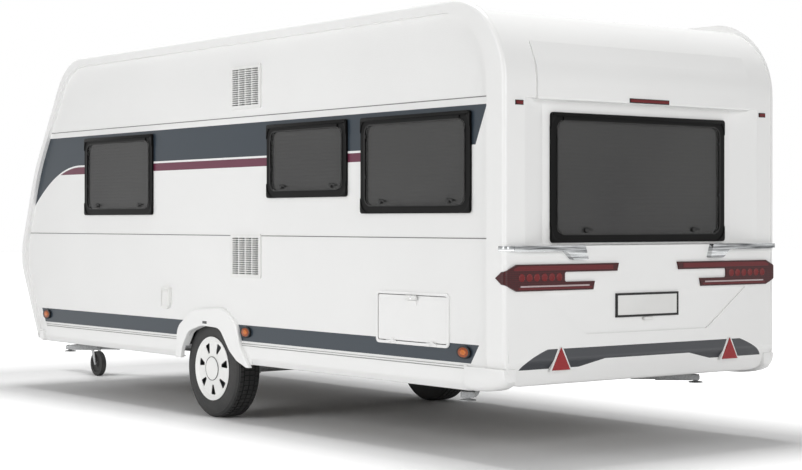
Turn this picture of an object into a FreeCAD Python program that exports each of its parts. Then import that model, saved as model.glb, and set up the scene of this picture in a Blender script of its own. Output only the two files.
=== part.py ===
import FreeCAD, Part
import math
import os
import Sketcher
from FreeCAD import Vector

# Travel caravan, standing on its two wheels and its jockey wheel.
# +X is the way it travels, +Y its left side, +Z up; the ground is z = 0.
# Pieces are drawn with the axle at x = 0 and then set back by the axle's place,
# so that the origin is the middle of the whole outline on the ground.

# Driving sizes in millimetres.
SIZES = {
    # overall
    "front_reach": 4150.0,
    "wall_face": 1120.0,
    "arch_face": 1150.0,
    "wall_thick": 30.0,
    "front_thick": 40.0,
    "rear_thick": 20.0,
    "running_gap": 5.0,
    "seat_gap": 0.3,
    "overrun": 20.0,
    # outer profile of the body
    "rear_face": 3288.0,
    "rear_radius": 500.0,
    "edge_top": 2710.0,
    "crown_radius": 470.0,
    "front_crown_in": 852.0,
    "brow_in": 273.0,
    "brow_height": 1830.0,
    "brow_radius": 1500.0,
    "nose_reach": 2997.0,
    "nose_height": 1092.0,
    "nose_radius": 350.0,
    "chin_in": 347.0,
    "chin_height": 433.0,
    "flat_top_in": 457.0,
    "flat_top_height": 2110.0,
    "flat_low_in": 147.0,
    "flat_low_height": 1490.0,
    "flat_radius": 600.0,
    "wall_bottom": 500.0,
    "edge_step": 8.0,
    "roof_drop": 50.0,
    "edge_round": 24.0,
    # inner line of the edge moulding
    "seam_rear_in": 158.0,
    "seam_top_in": 70.0,
    "seam_rear_radius": 420.0,
    "seam_crown_in": 40.0,
    "seam_front_radius": 450.0,
    "seam_brow_in": 86.0,
    "seam_cheek_in": 79.0,
    "seam_cheek_radius": 400.0,
    "seam_chin_in": 30.0,
    # inside of the cabin
    "cabin_rear_in": 90.5,
    "cabin_rear_radius": 400.0,
    "roof_rear_joint": 2550.0,
    "roof_front_joint": 1880.0,
    "floor_thick": 40.0,
    # rear wall
    "bumper_top": 990.0,
    "recess_bottom": 1270.0,
    "recess_top": 2112.0,
    "recess_edge_in": 120.0,
    "recess_inner_half": 800.0,
    "recess_lip": 10.0,
    "brow_half": 905.0,
    "brow_proud": 16.0,
    "brow_high": 340.0,
    "brow_face_high": 178.0,
    "brow_fade": 74.0,
    "brow_lip_radius": 12.0,
    # rear bumper
    "bumper_wall": 8.0,
    "bumper_bottom": 450.0,
    "bumper_proud": 4.0,
    "bumper_belly_height": 600.0,
    "bumper_round": 60.0,
    "bumper_corner": 190.0,
    "plate_recess_half_top": 907.0,
    "plate_recess_half_bottom": 520.0,
    "plate_recess_bottom": 740.0,
    "plate_recess_depth": 14.0,
    "plate_half": 260.0,
    "plate_low": 836.0,
    "plate_high": 969.0,
    "plate_thick": 8.0,
    # windows
    "frame_width": 45.0,
    "frame_flange": 30.0,
    "frame_proud": 15.0,
    "frame_radius": 95.0,
    "hinge_rail_height": 22.0,
    "hinge_rail_proud": 6.0,
    "pane_thick": 5.0,
    "pane_inset": 3.0,
    "blind_inset": 24.0,
    "blind_thick": 3.0,
    "window_front_x": 1300.0,
    "window_front_z": 1758.0,
    "window_front_wide": 1080.0,
    "window_front_high": 608.0,
    "window_middle_x": -1266.5,
    "window_middle_z": 1811.0,
    "window_middle_wide": 923.0,
    "window_middle_high": 496.0,
    "window_rear_x": -2423.5,
    "window_rear_z": 1755.0,
    "window_rear_wide": 1079.0,
    "window_rear_high": 602.0,
    "back_window_z": 1663.0,
    "back_window_wide": 1482.0,
    "back_window_high": 766.0,
    "nose_window_wide": 1500.0,
    "nose_window_high": 590.0,
    # entrance door on the right
    "door_front_x": -700.0,
    "door_wide": 650.0,
    "door_bottom": 601.0,
    "door_top": 2265.0,
    "door_radius": 80.0,
    "door_sleeve": 12.0,
    "door_flange": 22.0,
    "door_flange_thick": 4.0,
    "door_window_wide": 420.0,
    "door_window_high": 560.0,
    "door_window_z": 1690.0,
    "hinge_out": 17.0,
    "hinge_ahead": 8.0,
    "hinge_radius": 7.0,
    "hinge_tall": 60.0,
    "hinge_leaf": 3.0,
    "latch_wide": 46.0,
    "latch_high": 120.0,
    "latch_proud": 14.0,
    "latch_z": 1240.0,
    # service flap on the left
    "flap_front_x": -2040.0,
    "flap_wide": 720.0,
    "flap_low": 653.0,
    "flap_high": 324.0,
    "flap_frame_width": 18.0,
    "flap_frame_proud": 10.0,
    "flap_radius": 30.0,
    "flap_lock_wide": 100.0,
    "flap_lock_high": 32.0,
    "flap_lock_proud": 5.0,
    # fridge grilles on the left
    "grille_front_x": -338.0,
    "grille_wide": 382.5,
    "grille_high": 303.0,
    "grille_low_z": 1014.0,
    "grille_up_z": 2183.0,
    "grille_proud": 12.0,
    "grille_rim": 26.0,
    "grille_radius": 14.0,
    "grille_post": 8.0,
    "grille_slat": 6.5,
    "grille_depth": 22.0,
    # power inlet
    "inlet_x": 557.0,
    "inlet_z": 840.0,
    "inlet_wide": 125.0,
    "inlet_high": 160.0,
    "inlet_proud": 22.0,
    # sills
    "sill_top": 560.0,
    "sill_flange": 8.0,
    "sill_bottom": 414.0,
    "sill_wall": 5.0,
    "sill_tuck": 75.0,
    "sill_round": 45.0,
    "keder_z": 541.0,
    "keder_tall": 7.0,
    "keder_deep": 3.0,
    "sill_front_end": 2550.0,
    "sill_rear_end": 2930.0,
    # wheel arches
    "arch_front": 405.0,
    "arch_rear": 600.0,
    "arch_top": 792.0,
    "arch_lip_bottom": 388.0,
    "arch_round": 14.0,
    "arch_lip_round": 6.0,
    # wheel boxes
    "box_half": 430.0,
    "box_inner": 825.0,
    "box_top": 775.0,
    "box_wall": 10.0,
    "box_radius": 240.0,
    # wheels
    "hub_height": 350.0,
    "tyre_outer": 350.0,
    "tyre_width": 205.0,
    "tyre_centre": 977.0,
    "tyre_bead": 203.0,
    "rim_half": 82.0,
    "rim_well": 178.0,
    "rim_metal": 6.0,
    "rim_disc_out": 40.0,
    "rim_hub": 55.0,
    "trim_radius": 228.0,
    "trim_crown": 96.0,
    "trim_thick": 4.0,
    "trim_cap": 84.0,
    "slot_inner": 116.0,
    "slot_outer": 188.0,
    "slot_wide": 62.0,
    "drum_radius": 118.0,
    # axle
    "axle_ahead": 165.0,
    "axle_height": 332.0,
    "axle_radius": 44.0,
    "axle_half": 795.0,
    "arm_inner": 800.0,
    "arm_thick": 34.0,
    "arm_boss": 52.0,
    "arm_eye": 34.0,
    "plate_radius": 122.0,
    "backplate_thick": 6.0,
    "stub_radius": 17.0,
    # chassis
    "rail_half": 560.0,
    "rail_wide": 50.0,
    "rail_tall": 110.0,
    "rail_metal": 4.0,
    "rail_rear": 2560.0,
    "rail_front": 2200.0,
    "rail_hole_radius": 32.0,
    "rail_hole_pitch": 240.0,
    "cross_rear": 2500.0,
    "cross_middle": 1300.0,
    "cross_front": 1700.0,
    "cross_wide": 45.0,
    "drawbar_root": 1850.0,
    "drawbar_tip": 3560.0,
    "drawbar_tall": 80.0,
    "drawbar_wide": 40.0,
    "drawbar_low": 380.0,
    "drawbar_metal": 5.0,
    # coupling
    "housing_rear": 3330.0,
    "housing_front": 3780.0,
    "housing_half": 46.0,
    "housing_low": 372.0,
    "housing_high": 468.0,
    "tube_radius": 25.0,
    "tube_front": 4010.0,
    "coupling_height": 420.0,
    "gaiter_radius": 38.0,
    "head_rear": 3930.0,
    "head_half": 42.0,
    "head_high": 62.0,
    "ball_ahead": 4092.0,
    "ball_radius": 25.0,
    "ball_shell": 8.0,
    "handle_long": 190.0,
    "handle_rise": 95.0,
    # handbrake
    "brake_x": 3400.0,
    "brake_y": -72.0,
    "brake_z": 480.0,
    "brake_long": 420.0,
    "brake_radius": 10.0,
    "brake_grip_long": 120.0,
    "brake_hub_radius": 22.0,
    "brake_thick": 14.0,
    # jockey wheel
    "jockey_x": 3640.0,
    "jockey_y": 96.0,
    "jockey_tube": 30.0,
    "jockey_tube_wall": 3.0,
    "jockey_tube_low": 392.0,
    "jockey_tube_high": 760.0,
    "jockey_inner_low": 262.0,
    "jockey_inner_high": 560.0,
    "jockey_wheel_radius": 112.0,
    "jockey_wheel_wide": 48.0,
    "jockey_trail": 62.0,
    "jockey_fork_gap": 6.0,
    "jockey_fork_metal": 4.0,
    "jockey_crank": 120.0,
    "jockey_clamp_wide": 34.0,
    # corner steadies
    "steady_pivot_z": 372.0,
    "steady_rear_x": 2470.0,
    "steady_rear_y": 690.0,
    "steady_front_x": 2020.0,
    "steady_front_y": 730.0,
    "steady_long": 430.0,
    "steady_wide": 44.0,
    "steady_metal": 4.0,
    "steady_eye": 18.0,
    "steady_foot": 38.0,
    "steady_pin": 7.0,
    "steady_ear": 5.0,
    # gas locker
    "locker_deep": 457.0,
    "locker_shelf": 1235.0,
    "locker_board": 30.0,
    "lid_half": 700.0,
    "lid_low": 620.0,
    "lid_high": 1180.0,
    # roof hatches
    "hatch_large_x": 700.0,
    "hatch_large_long": 500.0,
    "hatch_large_wide": 700.0,
    "hatch_small_x": -1900.0,
    "hatch_small_long": 400.0,
    "hatch_small_wide": 400.0,
    "hatch_frame": 40.0,
    "hatch_rise": 30.0,
    "hatch_lid_rise": 34.0,
    "hatch_lid_over": 12.0,
    "hatch_radius": 60.0,
    # hinges of the flap and the locker lid
    "flap_knuckle_radius": 5.0,
    "flap_knuckle_long": 30.0,
    "lid_knuckle_radius": 7.0,
    "lid_knuckle_long": 80.0,
    "hatch_knuckle_radius": 6.0,
    "hatch_knuckle_long": 60.0,
    # lamps and handles
    "lamp_proud": 12.0,
    "lamp_side": 5.0,
    "lamp_side_long": 76.0,
    "lamp_side_high": 70.0,
    "reflector_proud": 7.0,
    "lamp_low": 1004.0,
    "lamp_high": 1158.0,
    "lamp_tip_z": 1081.0,
    "lamp_corner": 1062.0,
    "lamp_upper_end": 252.0,
    "lamp_lower_end": 450.0,
    "lamp_notch": 690.0,
    "lamp_upper_low": 1111.0,
    "lamp_lower_high": 1054.0,
    "brake_lamp_half": 163.0,
    "brake_lamp_z": 2122.0,
    "brake_lamp_high": 18.0,
    "corner_lamp_y": 1035.0,
    "corner_lamp_z": 2078.0,
    "corner_lamp_long": 50.0,
    "side_marker_radius": 36.0,
    "side_marker_proud": 14.0,
    "side_marker_front": 2528.0,
    "side_marker_middle": 522.0,
    "side_marker_rear": 2891.0,
    "side_marker_z": 640.0,
    "reflector_y": 720.0,
    "reflector_wide": 140.0,
    "reflector_low": 540.0,
    "reflector_high": 131.0,
    "grab_tip": 520.0,
    "grab_top_end": 548.0,
    "grab_low": 1180.0,
    "grab_high": 1266.0,
    "grab_wrist": 1232.0,
    "grab_palm": 640.0,
    "grab_slot_inner": 700.0,
    "grab_slot_outer": 1010.0,
    "grab_wall": 14.0,
    "grab_round": 6.0,
    "grab_out": 36.0,
}

# How many of each repeated feature.
COUNTS = {
    "grille_columns": 4,
    "grille_rows": 17,
    "trim_slots": 7,
    "rail_holes": 6,
}


class Dim:
    """A length that knows its value and the sheet expression that gives it."""

    def __init__(self, value, text):
        self.value = float(value)
        self.text = text

    @staticmethod
    def lift(other):
        return other if isinstance(other, Dim) else Dim(other, "%r" % float(other))

    def combine(self, other, sign, value):
        return Dim(value, "(%s %s %s)" % (self.text, sign, other.text))

    def __add__(self, other):
        other = Dim.lift(other)
        return self.combine(other, "+", self.value + other.value)

    def __radd__(self, other):
        return Dim.lift(other) + self

    def __sub__(self, other):
        other = Dim.lift(other)
        return self.combine(other, "-", self.value - other.value)

    def __rsub__(self, other):
        return Dim.lift(other) - self

    def __mul__(self, other):
        other = Dim.lift(other)
        return self.combine(other, "*", self.value * other.value)

    def __rmul__(self, other):
        return Dim.lift(other) * self

    def __truediv__(self, other):
        other = Dim.lift(other)
        return self.combine(other, "/", self.value / other.value)

    def __neg__(self):
        return Dim(-self.value, "(-1 * %s)" % self.text)

    def __float__(self):
        return self.value


doc = FreeCAD.newDocument("travel_caravan")
sheet = doc.addObject("Spreadsheet::Sheet", "Sizes")
for row, (alias, millimetres) in enumerate(SIZES.items(), start=1):
    sheet.set("A%d" % row, alias)
    sheet.set("B%d" % row, "%r" % millimetres)
    sheet.setAlias("B%d" % row, alias)
doc.recompute()


class Sheet:
    """Reads a size from the sheet as a Dim."""

    def __getattr__(self, name):
        return Dim(float(sheet.get(name)), "Sizes." + name)


d = Sheet()
front_crown = d.nose_reach - d.front_crown_in
brow_reach = d.nose_reach - d.brow_in
chin_reach = d.nose_reach - d.chin_in
seam_chin = chin_reach - d.seam_chin_in
flat_top_reach = d.nose_reach - d.flat_top_in
flat_low_reach = d.nose_reach - d.flat_low_in
bumper_reach = d.rear_face + d.bumper_proud
cabin_rear = d.rear_face - d.cabin_rear_in
recess_outer_half = d.wall_face - d.recess_edge_in
locker_wall_x = d.nose_reach - d.locker_deep
rear_reach = d.rear_face - d.edge_step / 2 + d.grab_out
axle_x = (rear_reach - d.front_reach) / 2
NODES = {}


# Helpers for sketches and features

def bind(obj, path, length):
    """Tie a property to the sheet, or set it where the length is a plain number."""
    if isinstance(length, Dim):
        obj.setExpression(path, length.text)


def new_body(name):
    body = doc.addObject("PartDesign::Body", name)
    body.Label = name
    return body


def sketch_on(body, plane, offset=0.0):
    """New sketch on one of the body's own planes, moved along the plane's normal."""
    sketch = body.newObject("Sketcher::SketchObject", "Sketch")
    support = next(f for f in body.Origin.OriginFeatures if f.Role == plane)
    sketch.AttachmentSupport = (support, "")
    sketch.MapMode = "FlatFace"
    sketch.AttachmentOffset = FreeCAD.Placement(Vector(0, 0, float(offset)), FreeCAD.Rotation())
    bind(sketch, "AttachmentOffset.Base.z", offset)
    return sketch


def corner_arc(before, corner, after, radius):
    """Tangent points and centre of the round at a corner."""
    back = (before - corner).normalize()
    ahead = (after - corner).normalize()
    turn = math.pi - back.getAngle(ahead)
    reach = radius * math.tan(turn / 2)
    first = corner + back * reach
    last = corner + ahead * reach
    middle = (back + ahead).normalize()
    centre = corner + middle * (radius / math.cos(turn / 2))
    return first, last, centre


def outline(sketch, corners):
    """Closed outline through corners (x, y, radius), fully constrained and tied to the sheet."""
    points = [Vector(float(x), float(y), 0) for x, y, radius in corners]
    radii = [radius for x, y, radius in corners]
    count = len(points)
    starts, ends, arcs = [], [], []
    for i in range(count):
        radius = float(radii[i])
        if radius > 0:
            first, last, centre = corner_arc(points[i - 1], points[i], points[(i + 1) % count], radius)
        else:
            first, last, centre = points[i], points[i], None
        ends.append(first)
        starts.append(last)
        arcs.append(centre)
    lines = [Part.LineSegment(starts[i], ends[(i + 1) % count]) for i in range(count)]
    line_ids = list(sketch.addGeometry(lines, False))
    rules = []
    bindings = []
    for i in range(count):
        into = line_ids[i - 1]
        out = line_ids[i]
        if arcs[i] is None:
            rules.append(Sketcher.Constraint("Coincident", into, 2, out, 1))
            holder = (out, 1)
        else:
            round_corner(sketch, rules, bindings, (into, out), (ends[i], arcs[i], starts[i]), radii[i])
            mark = sketch.addGeometry(Part.Point(points[i]), True)
            rules.append(Sketcher.Constraint("PointOnObject", mark, 1, into))
            rules.append(Sketcher.Constraint("PointOnObject", mark, 1, out))
            holder = (mark, 1)
        for kind, place, length in (("DistanceX", points[i].x, corners[i][0]),
                                    ("DistanceY", points[i].y, corners[i][1])):
            bindings.append((len(rules), length))
            rules.append(Sketcher.Constraint(kind, -1, 1, holder[0], holder[1], place))
    base = sketch.ConstraintCount
    sketch.addConstraint(rules)
    for index, length in bindings:
        bind(sketch, "Constraints[%d]" % (base + index), length)


def round_corner(sketch, rules, bindings, line_pair, places, radius):
    """Arc tangent to the two lines of a corner."""
    into, out = line_pair
    first, centre, last = places
    normal = Vector(0, 0, 1)
    circle = Part.Circle(centre, normal, float(radius))
    angle_first = math.atan2(first.y - centre.y, first.x - centre.x)
    angle_last = math.atan2(last.y - centre.y, last.x - centre.x)
    left_turn = (angle_last - angle_first) % (2 * math.pi) < math.pi
    if left_turn:
        span = (angle_first, angle_first + (angle_last - angle_first) % (2 * math.pi))
        arc_in, arc_out = 1, 2
    else:
        span = (angle_last, angle_last + (angle_first - angle_last) % (2 * math.pi))
        arc_in, arc_out = 2, 1
    arc = sketch.addGeometry(Part.ArcOfCircle(circle, span[0], span[1]), False)
    rules.append(Sketcher.Constraint("Tangent", into, 2, arc, arc_in))
    rules.append(Sketcher.Constraint("Tangent", arc, arc_out, out, 1))
    bindings.append((len(rules), radius))
    rules.append(Sketcher.Constraint("Radius", arc, float(radius)))


def rectangle(sketch, left, low, right, high, radius=0.0):
    outline(sketch, [(left, low, radius), (right, low, radius), (right, high, radius), (left, high, radius)])


def round_hole(sketch, x, y, radius):
    """Circle at (x, y), tied to the sheet."""
    ring = sketch.addGeometry(Part.Circle(Vector(float(x), float(y), 0), Vector(0, 0, 1),
        float(radius)), False)
    base = sketch.ConstraintCount
    sketch.addConstraint([
        Sketcher.Constraint("DistanceX", -1, 1, ring, 3, float(x)),
        Sketcher.Constraint("DistanceY", -1, 1, ring, 3, float(y)),
        Sketcher.Constraint("Radius", ring, float(radius)),
    ])
    for index, length in enumerate((x, y, radius)):
        bind(sketch, "Constraints[%d]" % (base + index), length)


def feature(body, kind, sketch, length):
    item = body.newObject("PartDesign::" + kind, kind)
    item.Profile = sketch
    item.Length = float(length)
    bind(item, "Length", length)
    sketch.Visibility = False
    return item


def pad(body, sketch, length, reverse=False):
    item = feature(body, "Pad", sketch, length)
    item.Reversed = reverse
    return item


def pocket(body, sketch, length, reverse=False):
    """Cut towards -Y from an XZ sketch, and from others against the normal unless reversed."""
    item = feature(body, "Pocket", sketch, length)
    item.Reversed = reverse or sketch.AttachmentSupport[0][0].Role == "XZ_Plane"
    return item


def revolve(body, sketch):
    item = body.newObject("PartDesign::Revolution", "Revolution")
    item.Profile = sketch
    item.ReferenceAxis = (sketch, ["H_Axis"])
    item.Angle = 360.0
    return item


def slab(body, plane, low, high, draw):
    """Pad between two places along a plane's normal; XZ faces -Y, so its offset is turned."""
    if plane == "XZ_Plane":
        sketch = sketch_on(body, plane, -high)
    else:
        sketch = sketch_on(body, plane, low)
    draw(sketch)
    return pad(body, sketch, high - low)


def block(name, low, high):
    """Part box between two corners of Dims."""
    item = doc.addObject("Part::Box", name)
    for prop, axis in (("Length", 0), ("Width", 1), ("Height", 2)):
        setattr(item, prop, float(high[axis] - low[axis]))
        bind(item, prop, Dim.lift(high[axis]) - Dim.lift(low[axis]))
    item.Placement.Base = Vector(*[float(v) for v in low])
    for prop, axis in (("x", 0), ("y", 1), ("z", 2)):
        bind(item, "Placement.Base." + prop, Dim.lift(low[axis]))
    return item


def rod(name, start, radius, length, direction):
    """Part cylinder from a start point along a direction."""
    item = doc.addObject("Part::Cylinder", name)
    item.Radius = float(radius)
    item.Height = float(length)
    bind(item, "Radius", radius)
    bind(item, "Height", length)
    item.Placement = FreeCAD.Placement(Vector(*[float(v) for v in start]),
                                       FreeCAD.Rotation(Vector(0, 0, 1), direction))
    for prop, axis in (("x", 0), ("y", 1), ("z", 2)):
        bind(item, "Placement.Base." + prop, Dim.lift(start[axis]))
    return item


def boolean(kind, name, base, tool):
    item = doc.addObject("Part::" + kind, name)
    item.Base = base
    item.Tool = tool
    return item


def fuse(name, pieces):
    item = doc.addObject("Part::MultiFuse", name)
    item.Shapes = pieces
    item.Refine = True
    return item


def compound(name, pieces):
    item = doc.addObject("Part::Compound", name)
    item.Links = pieces
    return item


def mirrored(piece):
    """The same piece on the other side of the middle plane."""
    item = doc.addObject("Part::Mirroring", piece.Name + "_mirror")
    item.Source = piece
    item.Normal = Vector(0, 1, 0)
    return item


def locate(obj, x=0.0, y=0.0, z=0.0, rotation=None):
    """Set an object's placement, tied to the sheet."""
    place = FreeCAD.Placement(Vector(float(x), float(y), float(z)), rotation or FreeCAD.Rotation())
    obj.Placement = place
    for axis, length in (("x", x), ("y", y), ("z", z)):
        bind(obj, "Placement.Base." + axis, length)
    return obj


def node(name, obj, x=0.0, y=0.0, z=0.0, rotation=None):
    """Name a finished piece and set it in the caravan's frame."""
    obj.Label = name
    locate(obj, axle_x + x, y, z, rotation)
    NODES[name] = obj
    return obj


def turned(x_axis, y_axis, z_axis):
    """Rotation whose local axes point along the three given directions."""
    matrix = FreeCAD.Matrix(x_axis[0], y_axis[0], z_axis[0], 0,
                            x_axis[1], y_axis[1], z_axis[1], 0,
                            x_axis[2], y_axis[2], z_axis[2], 0, 0, 0, 0, 1)
    return FreeCAD.Placement(matrix).Rotation


# The body's lines in side view

# Corners of the wheel arch: how far ahead of or behind the hub, how high and how round,
# as shares of its reach to the front or rear and of its height.
ARCH_OUTER_SHARES = (
    (0.99, 0.523, 0.0), (0.92, 0.808, 0.15), (0.37, 0.979, 0.32), (-0.417, 1.01, 0.23), (-0.717, 0.871,
        0.15),
    (-0.797, 0.688, 0.09), (-0.998, 0.5, 0.0),
)
ARCH_OPENING_SHARES = (
    (0.81, 0.46, 0.0), (0.73, 0.631, 0.08), (0.531, 0.77, 0.14), (0.074, 0.833, 0.32), (-0.358, 0.823, 0.16),
    (-0.575, 0.631, 0.19), (-0.733, 0.55, 0.13), (-1.03, 0.475, 0.0),
)


def arch_corners(shares):
    """Corners of a line of the wheel arch."""
    corners = []
    for along, up, roundness in shares:
        reach = d.arch_front if along > 0 else d.arch_rear
        corners.append((reach * along, d.arch_top * up, d.arch_top * roundness))
    return corners


def edge_corners():
    """Outer line of the edge mouldings, from the rear foot over the roof to the chin."""
    return [
        (-d.rear_face, d.bumper_bottom, 0.0),
        (-d.rear_face, d.edge_top, d.rear_radius),
        (front_crown, d.edge_top, d.crown_radius),
        (brow_reach, d.brow_height, d.brow_radius),
        (d.nose_reach, d.nose_height, d.nose_radius),
        (chin_reach, d.chin_height, 0.0),
    ]


def skin_front_corners():
    """Outer line of the roof and front panels, a step inside the mouldings."""
    roof = d.edge_top - d.roof_drop
    return [
        (front_crown - d.edge_step, roof, d.crown_radius),
        (flat_top_reach - d.edge_step, d.flat_top_height, d.flat_radius),
        (flat_low_reach - d.edge_step, d.flat_low_height, d.flat_radius),
        (d.nose_reach - d.edge_step, d.nose_height, d.nose_radius),
        (chin_reach, d.chin_height + d.edge_step, 0.0),
    ]


def inward(corners, depth):
    """Corners of a line moved inwards by a wall's depth, in plain numbers."""
    points = [Vector(float(x), float(y), 0) for x, y, radius in corners]
    moved = []
    for i, (x, y, radius) in enumerate(corners):
        before = points[i] - points[i - 1] if i > 0 else Vector(1, 0, 0)
        after = points[i + 1] - points[i] if i + 1 < len(points) else before
        normal_before = Vector(before.y, -before.x, 0).normalize()
        normal_after = Vector(after.y, -after.x, 0).normalize()
        middle = (normal_before + normal_after).normalize()
        shift = middle * (depth / middle.dot(normal_before))
        place = points[i] + shift
        moved.append((place.x, place.y, max(float(radius) - depth, 0.0)))
    return moved


def cabin_corners():
    """Inner face of the cabin, closed at the floor."""
    front = inward(skin_front_corners(), float(d.front_thick))
    roof = d.edge_top - d.roof_drop
    return [
        (-cabin_rear, d.wall_bottom, 0.0),
        (-cabin_rear, roof - d.wall_thick, d.cabin_rear_radius),
        (d.roof_front_joint, roof - d.wall_thick, 0.0),
        (d.roof_front_joint, roof - d.front_thick, 0.0),
    ] + front[:-1] + [chin_inside(front)]


def chin_inside(front):
    """Where the front wall's inner face meets the bottom of the side walls."""
    nose, chin = front[-2], front[-1]
    level = float(d.wall_bottom)
    share = (nose[1] - level) / (nose[1] - chin[1])
    return (nose[0] + (chin[0] - nose[0]) * share, level, 0.0)


def front_plane():
    """Middle, outward normal and up direction of the flat that carries the front window."""
    high = Vector(float(flat_top_reach - d.edge_step), 0, float(d.flat_top_height))
    low = Vector(float(flat_low_reach - d.edge_step), 0, float(d.flat_low_height))
    up = (high - low).normalize()
    normal = Vector(up.z, 0, -up.x)
    return (high + low) * 0.5, normal, up


def drawbar_line(grow):
    """Plan of the left arm of the drawbar, widened on both sides."""
    root = d.rail_half + d.rail_wide + d.seat_gap
    tip = d.housing_half + d.seat_gap
    wide = d.drawbar_wide
    return [
        (d.drawbar_root, root - grow, 0.0),
        (d.rail_front, root - grow, 0.0),
        (d.drawbar_tip, tip - grow, 0.0),
        (d.drawbar_tip, tip + wide + grow, 0.0),
        (d.rail_front + wide, root + wide + grow, 0.0),
        (d.drawbar_root, root + wide + grow, 0.0),
    ]


CABIN = cabin_corners()


def cabin_block(name, half):
    """Solid that fills the cabin's inner outline, used to trim what fits inside."""
    body = new_body(name)
    slab(body, "XZ_Plane", -half, half, lambda sketch: outline(sketch, CABIN))
    return body


# Windows: frame, pane and blind drawn flat, with the outside towards +Z

LEFT = turned((-1, 0, 0), (0, 0, 1), (0, 1, 0))
RIGHT = turned((1, 0, 0), (0, 0, 1), (0, -1, 0))
BACK = turned((0, -1, 0), (0, 0, 1), (-1, 0, 0))
middle, outward, upward = front_plane()
FRONT = turned((0, 1, 0), tuple(upward), tuple(outward))


def window_frame(name, wide, high):
    body = new_body(name)
    x, y = wide / 2, high / 2
    inner_radius = d.frame_radius - d.frame_width
    flange = sketch_on(body, "XY_Plane", 0.0)
    rectangle(flange, -x, -y, x, y, d.frame_radius)
    rectangle(flange, d.frame_width - x, d.frame_width - y, x - d.frame_width, y - d.frame_width,
        inner_radius)
    pad(body, flange, d.frame_proud)
    sleeve = sketch_on(body, "XY_Plane", -d.wall_thick)
    rectangle(sleeve, d.frame_flange - x, d.frame_flange - y, x - d.frame_flange, y - d.frame_flange,
              d.frame_radius - d.frame_flange)
    rectangle(sleeve, d.frame_width - x, d.frame_width - y, x - d.frame_width, y - d.frame_width,
        inner_radius)
    pad(body, sleeve, d.wall_thick)
    rail = sketch_on(body, "XY_Plane", d.frame_proud)
    rectangle(rail, d.frame_radius - x, y - d.frame_width, x - d.frame_radius,
        y - d.frame_width + d.hinge_rail_height)
    pad(body, rail, d.hinge_rail_proud)
    return body


def window_sheet(name, wide, high, low, thick):
    body = new_body(name)
    x = wide / 2 - d.frame_width - d.seat_gap
    y = high / 2 - d.frame_width - d.seat_gap
    slab(body, "XY_Plane", low, low + thick,
         lambda sketch: rectangle(sketch, -x, -y, x, y, d.frame_radius - d.frame_width - d.seat_gap))
    return body


def window_hole(sketch, x, z, wide, high):
    """Hole for a window's sleeve in a wall sketch."""
    half_wide = wide / 2 - d.frame_flange
    half_high = high / 2 - d.frame_flange
    rectangle(sketch, x - half_wide, z - half_high, x + half_wide, z + half_high,
        d.frame_radius - d.frame_flange)


SIDE_WINDOWS = {
    "front": (d.window_front_x, d.window_front_z, d.window_front_wide, d.window_front_high),
    "middle": (d.window_middle_x, d.window_middle_z, d.window_middle_wide, d.window_middle_high),
    "rear": (d.window_rear_x, d.window_rear_z, d.window_rear_wide, d.window_rear_high),
}


def build_windows():
    rear_plane = cabin_rear + d.rear_thick
    places = []
    for name, (x, z, wide, high) in SIDE_WINDOWS.items():
        places.append((name + "_left", wide, high, (x, d.wall_face, z), LEFT))
        if name != "middle":
            places.append((name + "_right", wide, high, (x, -d.wall_face, z), RIGHT))
    places.append(("back", d.back_window_wide, d.back_window_high, (-rear_plane, 0.0, d.back_window_z),
        BACK))
    places.append(("nose", d.nose_window_wide, d.nose_window_high, tuple(middle), FRONT))
    frames, panes, blinds = [], [], []
    for name, wide, high, (x, y, z), rotation in places:
        frames.append(locate(window_frame("frame_" + name, wide, high), x, y, z, rotation))
        panes.append(locate(window_sheet("pane_" + name, wide, high, d.pane_inset, d.pane_thick), x, y,
            z, rotation))
        blinds.append(locate(window_sheet("blind_" + name, wide, high, -d.blind_inset, d.blind_thick),
                             x, y, z, rotation))
    node("window_frames", compound("window_frames", frames))
    node("window_panes", compound("window_panes", panes))
    node("window_blinds", compound("window_blinds", blinds))


# Side walls

def arch_opening(sketch):
    """Wheel opening in the side wall and the arch moulding."""
    outline(sketch, arch_corners(ARCH_OPENING_SHARES))


def flap_hole(sketch):
    rectangle(sketch, d.flap_front_x - d.flap_wide + d.flap_frame_width / 2,
        d.flap_low + d.flap_frame_width / 2,
              d.flap_front_x - d.flap_frame_width / 2, d.flap_low + d.flap_high - d.flap_frame_width / 2,
              d.flap_radius)


def grille_hole(sketch, low):
    rectangle(sketch, d.grille_front_x - d.grille_wide + d.grille_rim, low + d.grille_rim,
              d.grille_front_x - d.grille_rim, low + d.grille_high - d.grille_rim, 0.0)


def door_hole(sketch, grow):
    """Outline of the door leaf grown on all sides."""
    rectangle(sketch, d.door_front_x - d.door_wide - grow, d.door_bottom - grow, d.door_front_x + grow,
              d.door_top + grow, d.door_radius + grow)


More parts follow.
